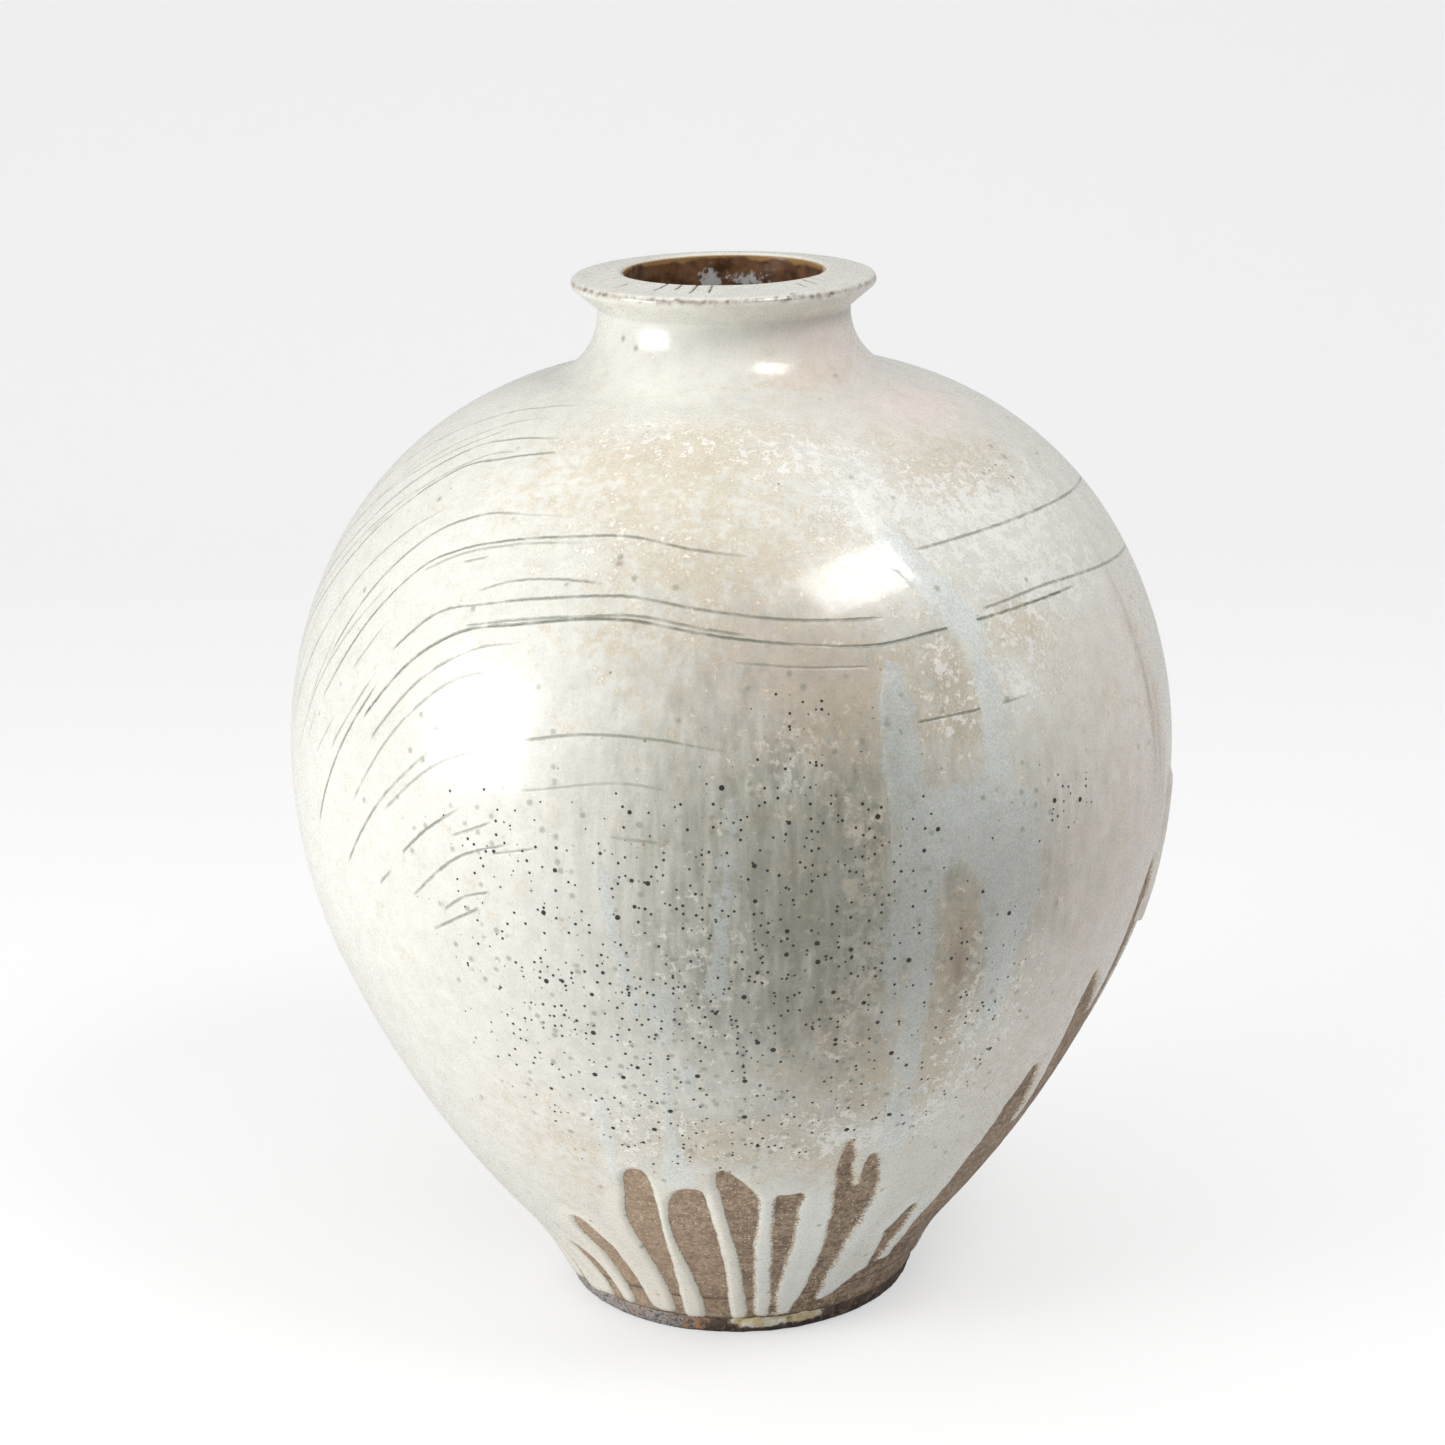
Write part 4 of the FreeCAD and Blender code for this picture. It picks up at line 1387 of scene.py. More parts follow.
    def pits(self, sheet: Sheet, size: float, share: float, widest: float,
             shift: float) -> Socket:
        """Round holes of one size range: near a scattered point, and only where chance and the
        pits channel allow one.

        Args:
            sheet: Where to add them.
            size: Spacing in metres.
            share: How many of the points have a hole where the channel is full.
            widest: Radius of the widest, in metres.
            shift: Moves the pattern.

        Returns:
            0 to 1, full in the hole.
        """
        away, chance = sheet.cells(size, shift)
        allowed = sheet.times(sheet.channel(Channel.PITS), share)
        wide = sheet.times(sheet.less(allowed, chance), widest / share)
        wide = sheet.math("MINIMUM", sheet.times(wide, 2.2), widest)
        return sheet.step(0.0, 0.3 * MM, sheet.less(wide, away))

    def mists(self, sheet: Sheet) -> Socket:
        """Soft grey dots of closed pits, strewn where the pits are.

        Args:
            sheet: Where to add them.

        Returns:
            0 to 0.55.
        """
        away, chance = sheet.cells(5.4 * MM, 1.7)
        allowed = sheet.times(sheet.channel(Channel.PITS), 0.5)
        return sheet.times(sheet.math("GREATER_THAN", allowed, chance),
                           sheet.step(1.9 * MM, 0.6 * MM, away, 0.55))

    def build(self) -> Finish:
        """Lays the glaze's parts over each other, then its relief and gloss.

        Returns:
            The finish.
        """
        sheet = new_sheet("ash_glaze")
        noise = self.noises(sheet)
        colour = self.ground(sheet, noise)
        flecks = self.flecks(sheet, noise)
        colour = sheet.mix(flecks, colour, self.fleck)
        ash, ash_colour = self.thick_ash(sheet, noise)
        colour = sheet.mix(ash, colour, ash_colour)
        mottle = sheet.stirred(noise.fine, 0.15, 1.0)
        mottle = sheet.stirred(sheet.noise(9 * MM, 4, 0.65, shift=0.9), 0.34, mottle)
        colour = sheet.vector("MULTIPLY", colour, sheet.threefold(mottle))
        colour = self.margins(sheet, noise, colour)
        scratches = self.scratches(sheet)
        colour = sheet.mix(sheet.times(scratches, 0.85, clamp=True), colour, self.scratch)
        small = self.pits(sheet, 2.5 * MM, 0.6, 0.72 * MM, 0.0)
        large = self.pits(sheet, 6.0 * MM, 0.5, 1.2 * MM, 3.1)
        colour = sheet.mix(self.mists(sheet), colour, self.mist)
        holes = sheet.math("MAXIMUM", small, large)
        colour = sheet.mix(holes, colour, self.pit)
        specks = sheet.specks(13 * MM, 0.3, (0.75 * MM, 0.3 * MM), 0.75, 5.3)
        colour = sheet.mix(specks, colour, self.iron)

        height = sheet.times(sheet.noise(2.4 * MM, 3, 0.6), 0.05)
        parts = ((flecks, 0.03), (ash, 0.08), (sheet.noise(18 * MM, 2), 0.25),
                 (scratches, -0.3), (holes, -0.7))
        for part, gain in parts:
            height = sheet.scaled(part, gain, height)
        rough = sheet.scaled(holes, 0.4, sheet.scaled(noise.fine, 0.16, 0.2))
        return sheet.finish(colour, rough, height, IOR=1.5, Coat_Weight=0.35, Coat_Roughness=0.1)


@dataclass(frozen=True)
class ClayFinish:
    """Bare dark stoneware: sandy, with throwing marks round it, and painted light that makes it
    paler towards the left lamp.
    """

    brown: Colour = srgb(180, 158, 135)
    dark: Colour = srgb(106, 88, 72)
    # Painted light: the paler colour that the clay's left side, towards the left lamp, is mixed
    # towards
    painted_light_pale: Colour = srgb(196, 172, 146)
    sand: Colour = srgb(228, 212, 186)

    def build(self) -> Finish:
        """Lays out the clay: rings, patches and grit in two browns, painted light that makes the
        left side paler, then grains of sand.

        Returns:
            The finish.
        """
        sheet = new_sheet("bare_stoneware")
        rings = sheet.noise(3.0 * MM, 3, 0.55, sheet.stretched(0.12, 0.12, 1))
        patchy = sheet.noise(9 * MM, 3, 0.6)
        gritty = sheet.noise(0.9 * MM, 2, 0.6)
        tone = sheet.scaled(rings, 0.2, sheet.times(patchy, 0.4))
        tone = sheet.scaled(sheet.noise(2.2 * MM, 4, 0.7, shift=2.4), 0.9, tone)
        colour = sheet.mix(sheet.step(0.58, 0.92, tone), self.dark, self.brown)
        # Painted light: the clay grows paler towards the left, the side that the left lamp lights
        left = sheet.step(40 * MM, -50 * MM, sheet.axis(Axis.ACROSS), 0.36)
        colour = sheet.mix(left, colour, self.painted_light_pale)
        grains = sheet.specks(1.9 * MM, 0.4, (0.62 * MM, 0.25 * MM), 0.85)
        colour = sheet.mix(grains, colour, self.sand)
        colour = sheet.mix(sheet.step(0.52, 0.66, gritty, 0.6), colour, self.dark)
        height = sheet.scaled(rings, 0.35, sheet.times(gritty, 0.12))
        height = sheet.scaled(grains, 0.08, height)
        return sheet.finish(colour, sheet.scaled(gritty, 0.2, 0.62), height, IOR=1.45)


@dataclass(frozen=True)
class SlipFinish:
    """Smoothed slip of the joints."""

    slip: Colour = srgb(126, 108, 92)
    shade: Colour = srgb(98, 83, 69)

    def build(self) -> Finish:
        """Lays out the slip: two browns, wiped round the jar.

        Returns:
            The finish.
        """
        sheet = new_sheet("joint_slip")
        wiped = sheet.noise(4 * MM, 3, 0.55, sheet.stretched(0.2, 0.2, 1))
        colour = sheet.mix(sheet.step(0.3, 0.7, wiped), self.shade, self.slip)
        rough = sheet.scaled(wiped, 0.2, 0.6)
        return sheet.finish(colour, rough, sheet.times(wiped, 0.1), IOR=1.45)


@dataclass(frozen=True)
class LinerFinish:
    """Glossy brown liner, yellow at the mouth, with a milky patch where ash fell in and a painted
    highlight streak near it.
    """

    brown: Colour = srgb(126, 92, 66)
    dark: Colour = srgb(78, 54, 38)
    honey: Colour = srgb(176, 140, 92)
    # Milky white of the ash patch, also used for the painted highlight streak
    milk_and_painted_highlight: Colour = srgb(212, 214, 212)

    def build(self) -> Finish:
        """Lays out the liner: two browns, honey at the mouth's edge, then the milky patch and the
        painted highlight.

        Returns:
            The finish.
        """
        sheet = new_sheet("liner_glaze")
        patchy = sheet.noise(8 * MM, 4, 0.6)
        drawn = sheet.noise(5 * MM, 3, 0.6, sheet.stretched(1, 1, 0.4))
        colour = sheet.mix(sheet.step(0.35, 0.66, patchy), self.dark, self.brown)
        rim = sheet.stirred(drawn, 3.0, sheet.channel(Channel.BARE))
        colour = sheet.mix(sheet.step(2.0, 0.3, rim, 0.9), colour, self.honey)
        # The milky ash patch, and the painted highlight streak in the same colour
        milky_and_painted_highlight = sheet.stirred(sheet.noise(2.6 * MM, 3, 0.6), 16.0, sheet.channel(Channel.ASH))
        colour = sheet.mix(sheet.step(-1.5, 1.5, milky_and_painted_highlight, 0.8), colour, self.milk_and_painted_highlight)
        height = sheet.scaled(patchy, 0.25, sheet.times(drawn, 0.1))
        rough = sheet.scaled(drawn, 0.15, 0.16)
        return sheet.finish(colour, rough, height, IOR=1.5, Coat_Weight=0.3, Coat_Roughness=0.08)


@dataclass(frozen=True)
class FootFinish:
    """Scorched foot: black and brown, with toasted patches, a pool of yellow ash glaze and a painted
    sheen on its left.
    """

    black: Colour = srgb(50, 42, 36)
    umber: Colour = srgb(96, 78, 62)
    ash_grey: Colour = srgb(140, 128, 118)
    # Painted sheen: light slate grey where the left lamp would shine on the foot
    painted_sheen_slate: Colour = srgb(186, 181, 179)
    toasted: Colour = srgb(172, 130, 98)
    pool: Colour = srgb(212, 192, 146)
    pool_pale: Colour = srgb(228, 224, 208)

    def build(self) -> Finish:
        """Lays out the scorched ground, darker towards the sole, then a painted sheen on the left,
        toast and pool.

        Returns:
            The finish.
        """
        sheet = new_sheet("scorched_foot")
        patchy = sheet.noise(5 * MM, 4, 0.6)
        gritty = sheet.noise(1.2 * MM, 3, 0.6)
        broken = sheet.scaled(sheet.noise(2.4 * MM, 4, 0.65, shift=1.3), 3.6, -1.8)
        sole = sheet.step(8 * MM, 0.0, sheet.axis(Axis.UP))
        burnt = sheet.scaled(sole, -0.14, patchy)
        colour = sheet.mix(sheet.step(0.38, 0.62, burnt), self.black, self.umber)
        dusted = sheet.step(0.56, 0.72, sheet.noise(7 * MM, 4, 0.6, shift=2.0), 0.6)
        colour = sheet.mix(dusted, colour, self.ash_grey)
        # Painted sheen: light slate grey over the foot's left side, which faces the left lamp
        painted_sheen = sheet.times(sheet.channel(Channel.GREY), sheet.step(0.30, 0.62, gritty, 0.75))
        colour = sheet.mix(painted_sheen, colour, self.painted_sheen_slate)
        toast = sheet.math("ADD", sheet.channel(Channel.TAN), sheet.times(broken, 1.5))
        colour = sheet.mix(sheet.step(0.35, 1.0, toast, 0.9), colour, self.toasted)
        pool = sheet.scaled(broken, 0.55, sheet.times(sheet.channel(Channel.ASH), 1.3))
        glassy = sheet.mix(sheet.step(0.4, 0.62, patchy), self.pool, self.pool_pale)
        colour = sheet.mix(sheet.step(0.3, 1.0, pool, 0.92), colour, glassy)
        colour = sheet.mix(sheet.step(0.57, 0.75, gritty, 0.5), colour, self.black)
        height = sheet.scaled(patchy, 0.5, sheet.times(gritty, 0.25))
        return sheet.finish(colour, sheet.scaled(gritty, 0.3, 0.42), height, IOR=1.5)


@dataclass(frozen=True)
class Band:
    """One band of a turned skin: its name, the heights it spans and how finely it is divided."""

    name: str
    low: float
    high: float
    rows: int
    columns: int


@dataclass
class GlazeCoat:
    """The outer ash glaze, in bands that meet without a step, and the rim's glaze."""

    wall: Wall
    glaze: GlazeMap
    bands: tuple[Band, ...] = (
        Band("glaze_streams", 4.5, 150.0, 122, 720), Band("glaze_belly", 150.0, 302.0, 98, 900),
        Band("glaze_shoulder", 302.0, 415.0, 98, 900),
        Band("glaze_neck", 415.0, RIM_LINE_MM, 96, 900))
    rim_columns: int = 1080
    rim_rows: int = 64
    back_rows: int = 8
    sunk: float = -1.0 * MM
    lip: float = 2.2 * MM
    crack_depth: float = 0.55 * MM
    crack_half_mm: float = 0.46
    crack_bend: Grain = Grain(71, 30.0, 0.004)

    def band_points(self, theta: Array, s: Array) -> tuple[Array, Array]:
        """Outer points and normals of a band, worked out with one more row at each end.

        Args:
            theta: Azimuths of the columns.
            s: Lengths of the rows.

        Returns:
            Points and normals, as rows and columns.
        """
        step = s[1] - s[0]
        across, up = np.meshgrid(theta, np.r_[s[0] - step, s, s[-1] + step])
        points = self.wall.points(across, up, self.lift(across, up))
        return points[1:-1], turned_normals(points)[1:-1]

    def lift(self, theta: Array, s: Array) -> Array:
        """Thickness of the glaze: the map's, cracked and with a round end on the rim.

        Args:
            theta: Azimuths.
            s: Lengths.

        Returns:
            Metres out from the clay.
        """
        left = self.wall.length - s
        round_over = np.sqrt(np.clip(1 - ease(self.lip, 0.0, left) ** 2, 0.02, 1))
        on_rim = s > self.wall.up_to(RIM_LINE_MM)
        thick = self.glaze.lift(theta, s) * np.where(on_rim, round_over, 1.0)
        return thick - self.crack_depth * self.cracks(theta, s)

    def cracks(self, theta: Array, s: Array) -> Array:
        """How deep in a drying crack of the rim places are.

        Args:
            theta: Azimuths.
            s: Lengths.

        Returns:
            Values from 0 to 1.
        """
        found = np.zeros(theta.shape)
        inner = (s - self.wall.up_to(RIM_LINE_MM)) / MM
        bend = 0.5 * self.crack_bend.at(theta, s)
        for at, start, end in RIM_CRACKS:
            away = np.radians(azimuth_gap(theta, at)) * self.wall.radius(s) / MM + bend
            held = ease(start - 1, start + 0.5, inner) * ease(end + 2, end, inner)
            found = np.maximum(found, held * bell(away, self.crack_half_mm))
        return found

    def ring(self, name: str, theta: Array, s: Array) -> Piece:
        """Closed skin over rows of the wall, its back sunk into the clay.

        Args:
            name: Its name.
            theta: Azimuths of the columns.
            s: Lengths of the rows.

        Returns:
            The piece, with the glaze's channels.
        """
        points, normals = self.band_points(theta, s)
        behind = self.wall.backing(theta, s, self.back_rows, self.sunk)
        faces = turned_faces(len(s) + self.back_rows, len(theta), Closure.RING)
        piece = make_piece(name, np.concatenate([points, behind]), faces,
                           np.concatenate([normals, -turned_normals(behind)]))
        channels = self.glaze.channels(theta, s)
        cracked = 1.6 * self.cracks(*np.meshgrid(theta, s))
        channels[Channel.BROWN] = np.maximum(channels[Channel.BROWN], cracked)
        for channel, values in channels.items():
            plain = np.zeros((self.back_rows, *values.shape[1:]))
            whole = np.concatenate([values, plain])
            carry(piece, channel, whole.reshape(-1, *values.shape[2:]))
        return piece

    def build(self, finish: Finish) -> None:
        """Makes every band and the rim.

        Args:
            finish: The glaze.
        """
        for band in self.bands:
            s = np.linspace(*self.wall.up_to([band.low, band.high]), band.rows)
            piece = self.ring(band.name, full_turn(band.columns), s)
            settle(piece, finish, Slot.COAT, "outer_glaze")
        s = np.linspace(self.wall.up_to(RIM_LINE_MM), self.wall.length, self.rim_rows)
        piece = self.ring("glaze_rim", full_turn(self.rim_columns), s)
        settle(piece, finish, Slot.COAT, "rim_glaze")


@dataclass
class ThrownWall:
    """The lower bowl's bare wall with its throwing marks, behind the windows of the glaze."""

    wall: Wall
    low: float = 22.0
    high: float = 252.7
    rows: int = 118
    back_rows: int = 14
    columns: int = 720
    ridge: float = 0.11 * MM
    climb_mm: float = 5.0
    fade_mm: float = 5.0
    marks: Grain = Grain(53, 60.0, 0.0046, 2)

    def build(self, finish: Finish) -> None:
        """Makes the wall: the outline plus fine rings that climb as a screw, and a plain inside.

        Args:
            finish: The bare clay.
        """
        theta = full_turn(self.columns)
        s = np.linspace(*self.wall.up_to([self.low, self.high]), self.rows)
        across, up = np.meshgrid(theta, s)
        rings = self.marks.at(across, up + across / TURN * self.climb_mm * MM)
        held = ease(self.low, self.low + self.fade_mm, self.wall.height(up) / MM)
        outer = self.wall.points(across, up, self.ridge * rings * held)
        inner = self.wall.backing(theta, s, self.back_rows, -self.wall.form.wall)
        faces = turned_faces(self.rows + self.back_rows, self.columns, Closure.RING)
        piece = make_piece("thrown_lower_wall", np.concatenate([outer, inner]), faces)
        settle(piece, finish, Slot.STONEWARE, "lower_bowl")


@dataclass
class Foot:
    """The turned foot ring, chipped at its edge, and the scorched wash that runs up from it."""

    wall: Wall
    height: float = 9.0 * MM
    inner_radius: float = 60.0 * MM
    edge: float = 1.2 * MM
    columns: int = 900
    sole_rows: int = 8
    wall_rows: int = 22
    side_rows: int = 4
    wash_rows: int = 44
    back_rows: int = 5
    sunk: float = -1.0 * MM
    chip: float = 0.45 * MM
    wear: float = 0.35 * MM
    wash_mm: float = 0.55
    wash_ends_mm: float = 8.2
    chips: Grain = Grain(61, 5.0, 0.004, 3)
    lumps: Grain = Grain(67, 2.4, 0.003, 3)

    def marks(self, piece: Piece, theta: Array, height: Array) -> None:
        """Carries where the foot is toasted, where ash glaze pooled, and where a painted sheen
        lightens its left side, towards the left lamp.

        Args:
            piece: The ring or the wash.
            theta: Azimuths of its points.
            height: Heights of its points in metres.
        """
        toast = np.maximum(0.9 * about(theta, -14.5, 6.5, 0.0),
                           0.6 * about(theta, 128.0, 6.0, 2.0))
        toast *= ease(0.4, 3.4, height / MM)
        pooled = np.maximum(about(theta, 7.0, 17.0, 2.0), 0.8 * about(theta, 21.0, 9.0, 4.0))
        pool = pooled * ease(5.8 - 3.4 * pooled, 8.8 - 3.4 * pooled, height / MM)
        # Painted sheen: the side of the foot that faces the left lamp
        painted_sheen = ease(-8.0, -26.0, theta) * ease(-120.0, -100.0, theta)
        carry(piece, Channel.TAN, toast.ravel())
        carry(piece, Channel.ASH, pool.ravel())
        # Here the grey channel carries the painted sheen
        carry(piece, Channel.GREY, painted_sheen.ravel())

    def ring(self) -> Piece:
        """The foot ring: sole, outer wall with chips, top, and inner wall, as one closed ring.

        Returns:
            The piece.
        """
        toe = self.wall.form.toe_radius
        top = float(self.wall.up_to(self.height / MM))
        up = np.linspace(0.0, top, self.wall_rows)
        inwards = np.linspace(self.wall.radius(top), self.inner_radius, self.side_rows + 1)[1:]
        downwards = np.linspace(self.height, 0.0, self.side_rows + 2)[1:-1]
        radius = np.r_[np.linspace(self.inner_radius, toe - self.edge, self.sole_rows),
                       self.wall.radius(up), inwards, np.full(self.side_rows, self.inner_radius)]
        height = np.r_[np.zeros(self.sole_rows), self.wall.height(up),
                       np.full(self.side_rows, self.height), downwards]
        theta = full_turn(self.columns)
        across, radii = np.meshgrid(theta, radius)
        _, heights = np.meshgrid(theta, height)
        outer = ease(self.inner_radius + 8 * MM, toe, radii)
        worn = self.chip * self.chips.at(across, heights + radii) * outer
        worn = worn - self.wear * ease(3 * MM, 0, heights) * outer
        radii = radii + worn * ease(self.height, self.height - 2 * MM, heights)
        piece = make_piece("turned_foot_ring", turned(radii, heights, across),
                           turned_faces(len(radius), self.columns, Closure.RING))
        self.marks(piece, across, heights)
        return piece

    def wash(self) -> Piece:
        """The wash: a thin ragged skin round the foot, thickest where ash glaze pooled.

        Returns:
            The piece.
        """
        theta = full_turn(self.columns)
        s = np.linspace(*self.wall.up_to([1.0, 15.0]), self.wash_rows)
        across, up = np.meshgrid(theta, s)
        tall = (up - s[0]) / MM
        lumps = self.lumps.at(across, up)
        end = self.wash_ends_mm + 2.4 * self.chips.at(across, 0.3) + 1.2 * lumps
        away = np.minimum(end - tall, tall + 0.3)
        thick = self.wash_mm * (1 - np.exp(-np.maximum(away, 0) / 1.2)) * (1 + 0.6 * lumps)
        pooled = about(across, 8.0, 11.0, 7.0) * ease(2.0, 4.0, tall)
        thick = np.where(away > 0, thick + 0.5 * pooled * ease(0, 2, away), np.maximum(away, -0.5))
        outer = self.wall.points(across, up, thick * MM)
        points = np.concatenate([outer, self.wall.backing(theta, s, self.back_rows, self.sunk)])
        piece = make_piece("scorched_foot_wash", points,
                           turned_faces(len(points), self.columns, Closure.RING))
        self.marks(piece, np.broadcast_to(theta, points.shape[:2]), points[..., 2])
        return piece

    def build(self, finish: Finish) -> None:
        """Makes both pieces."""
        settle(self.ring(), finish, Slot.STONEWARE, "foot_ring")
        settle(self.wash(), finish, Slot.WASH, "foot_wash")


@dataclass(frozen=True)
class LinerOval:
    """Pale oval on the liner that fades out with its distance: the milky patch, and the painted
    highlight streak.
    """

    size: float
    theta: float
    height_mm: float
    per_degree: float
    per_mm: float

    def depth(self, theta: Array, height: Array) -> Array:
        """How far inside it places are: its size less the distance from its middle."""
        return self.size - np.hypot(azimuth_gap(theta, self.theta) * self.per_degree,
                                    (height / MM - self.height_mm) * self.per_mm)


@dataclass
class Liner:
    """The brown glaze inside, from the floor's middle up to the mouth and over its edge."""

    wall: Wall
    thickness: float = 0.9 * MM
    top: float = 458.4 * MM
    columns: int = 360
    fine_step: float = 0.7 * MM
    coarse_step: float = 7 * MM
    fine_from: float = 0.405
    first: float = 0.004
    lump_mm: float = 0.28
    lumps: Grain = Grain(83, 14.0, 0.007, 3)
    edge: Grain = Grain(89, 12.0, 0.01)
    patch: LinerOval = LinerOval(4.5, -172.0, 446.0, 0.75, 0.8)
    # Painted highlight: a pale streak high on the inside of the mouth, drawn like a milky patch
    painted_highlight_streak: LinerOval = LinerOval(2.5, 165.0, 448.0, 0.28, 1.2)

    def resampled(self, line: Array, fine_from: float) -> Array:
        """An outline with evenly spaced points, closer above a height.

        Args:
            line: Rows of radius and height, upwards.
            fine_from: That height in metres.

        Returns:
            Rows of radius and height.
        """
        length = gone_along(line)
        turn = np.interp(fine_from, line[:, 1], length)
        stops = np.r_[np.arange(self.first, turn, self.coarse_step),
                      np.arange(turn, length[-1], self.fine_step), length[-1]]
        return np.column_stack([np.interp(stops, length, part) for part in line.T])

    def build(self, finish: Finish) -> None:
        """Makes the liner: its back against the clay, its face with soft lumps.

        Args:
            finish: The brown glaze.
        """
        form = self.wall.form
        back = self.resampled(form.inside(-form.wall, self.top), 0.46)
        face = self.resampled(form.inside(-form.wall - self.thickness, self.top), self.fine_from)
        lip = np.array([[form.bore_radius - 0.45 * MM, self.top + 0.25 * MM]])
        line = np.concatenate([back, lip, face[::-1]])
        theta = full_turn(self.columns)
        across, radii = np.meshgrid(theta, line[:, 0])
        _, heights = np.meshgrid(theta, line[:, 1])
        facing = np.arange(len(line))[:, None] > len(back)
        near_lip = ease(0.38, 0.42, heights)
        lumps = self.lumps.at(across, heights)
        radii = radii - facing * near_lip * self.lump_mm * MM * (lumps + 0.6)
        points = turned(radii, heights, across).reshape(-1, 3)
        poles = np.array([[0, 0, line[0, 1]], [0, 0, line[-1, 1]]])
        faces = turned_faces(len(line), self.columns, Closure.POLES)
        piece = make_piece("brown_liner", np.concatenate([points, poles]), faces)
        below = (self.top - heights) / MM + 2.0 * self.edge.at(across, heights)
        # The milky patch, and the streak that is a painted highlight
        milk_and_painted_highlight = np.maximum(self.patch.depth(across, heights), self.painted_highlight_streak.depth(across, heights))
        carry(piece, Channel.BARE, np.r_[below.ravel(), 99.0, 99.0])
        carry(piece, Channel.ASH, np.r_[milk_and_painted_highlight.ravel(), -99.0, -99.0])
        settle(piece, finish, Slot.LINER, "inner_glaze")


@dataclass(frozen=True)
class Run:
    """Thick run of ash glaze: stations of height, azimuth and half width, from the top down."""

    name: str
    node: str
    stations: tuple[tuple[float, float, float], ...]
    proud_mm: float = 0.5

    def along(self, wall: Wall, share: Array) -> tuple[Array, Array, Array]:
        """Places down the run, straight between the stations.

        Args:
            wall: Where it runs.
            share: Shares of the way down, 0 to 1.

        Returns:
            Lengths along the outline, azimuths, and half widths in metres.
        """
        height, theta, half = np.array(self.stations).T
        knots = np.linspace(0, 1, len(height))
        return (wall.up_to(np.interp(share, knots, height)), np.interp(share, knots, theta),
                np.interp(share, knots, half) * MM)


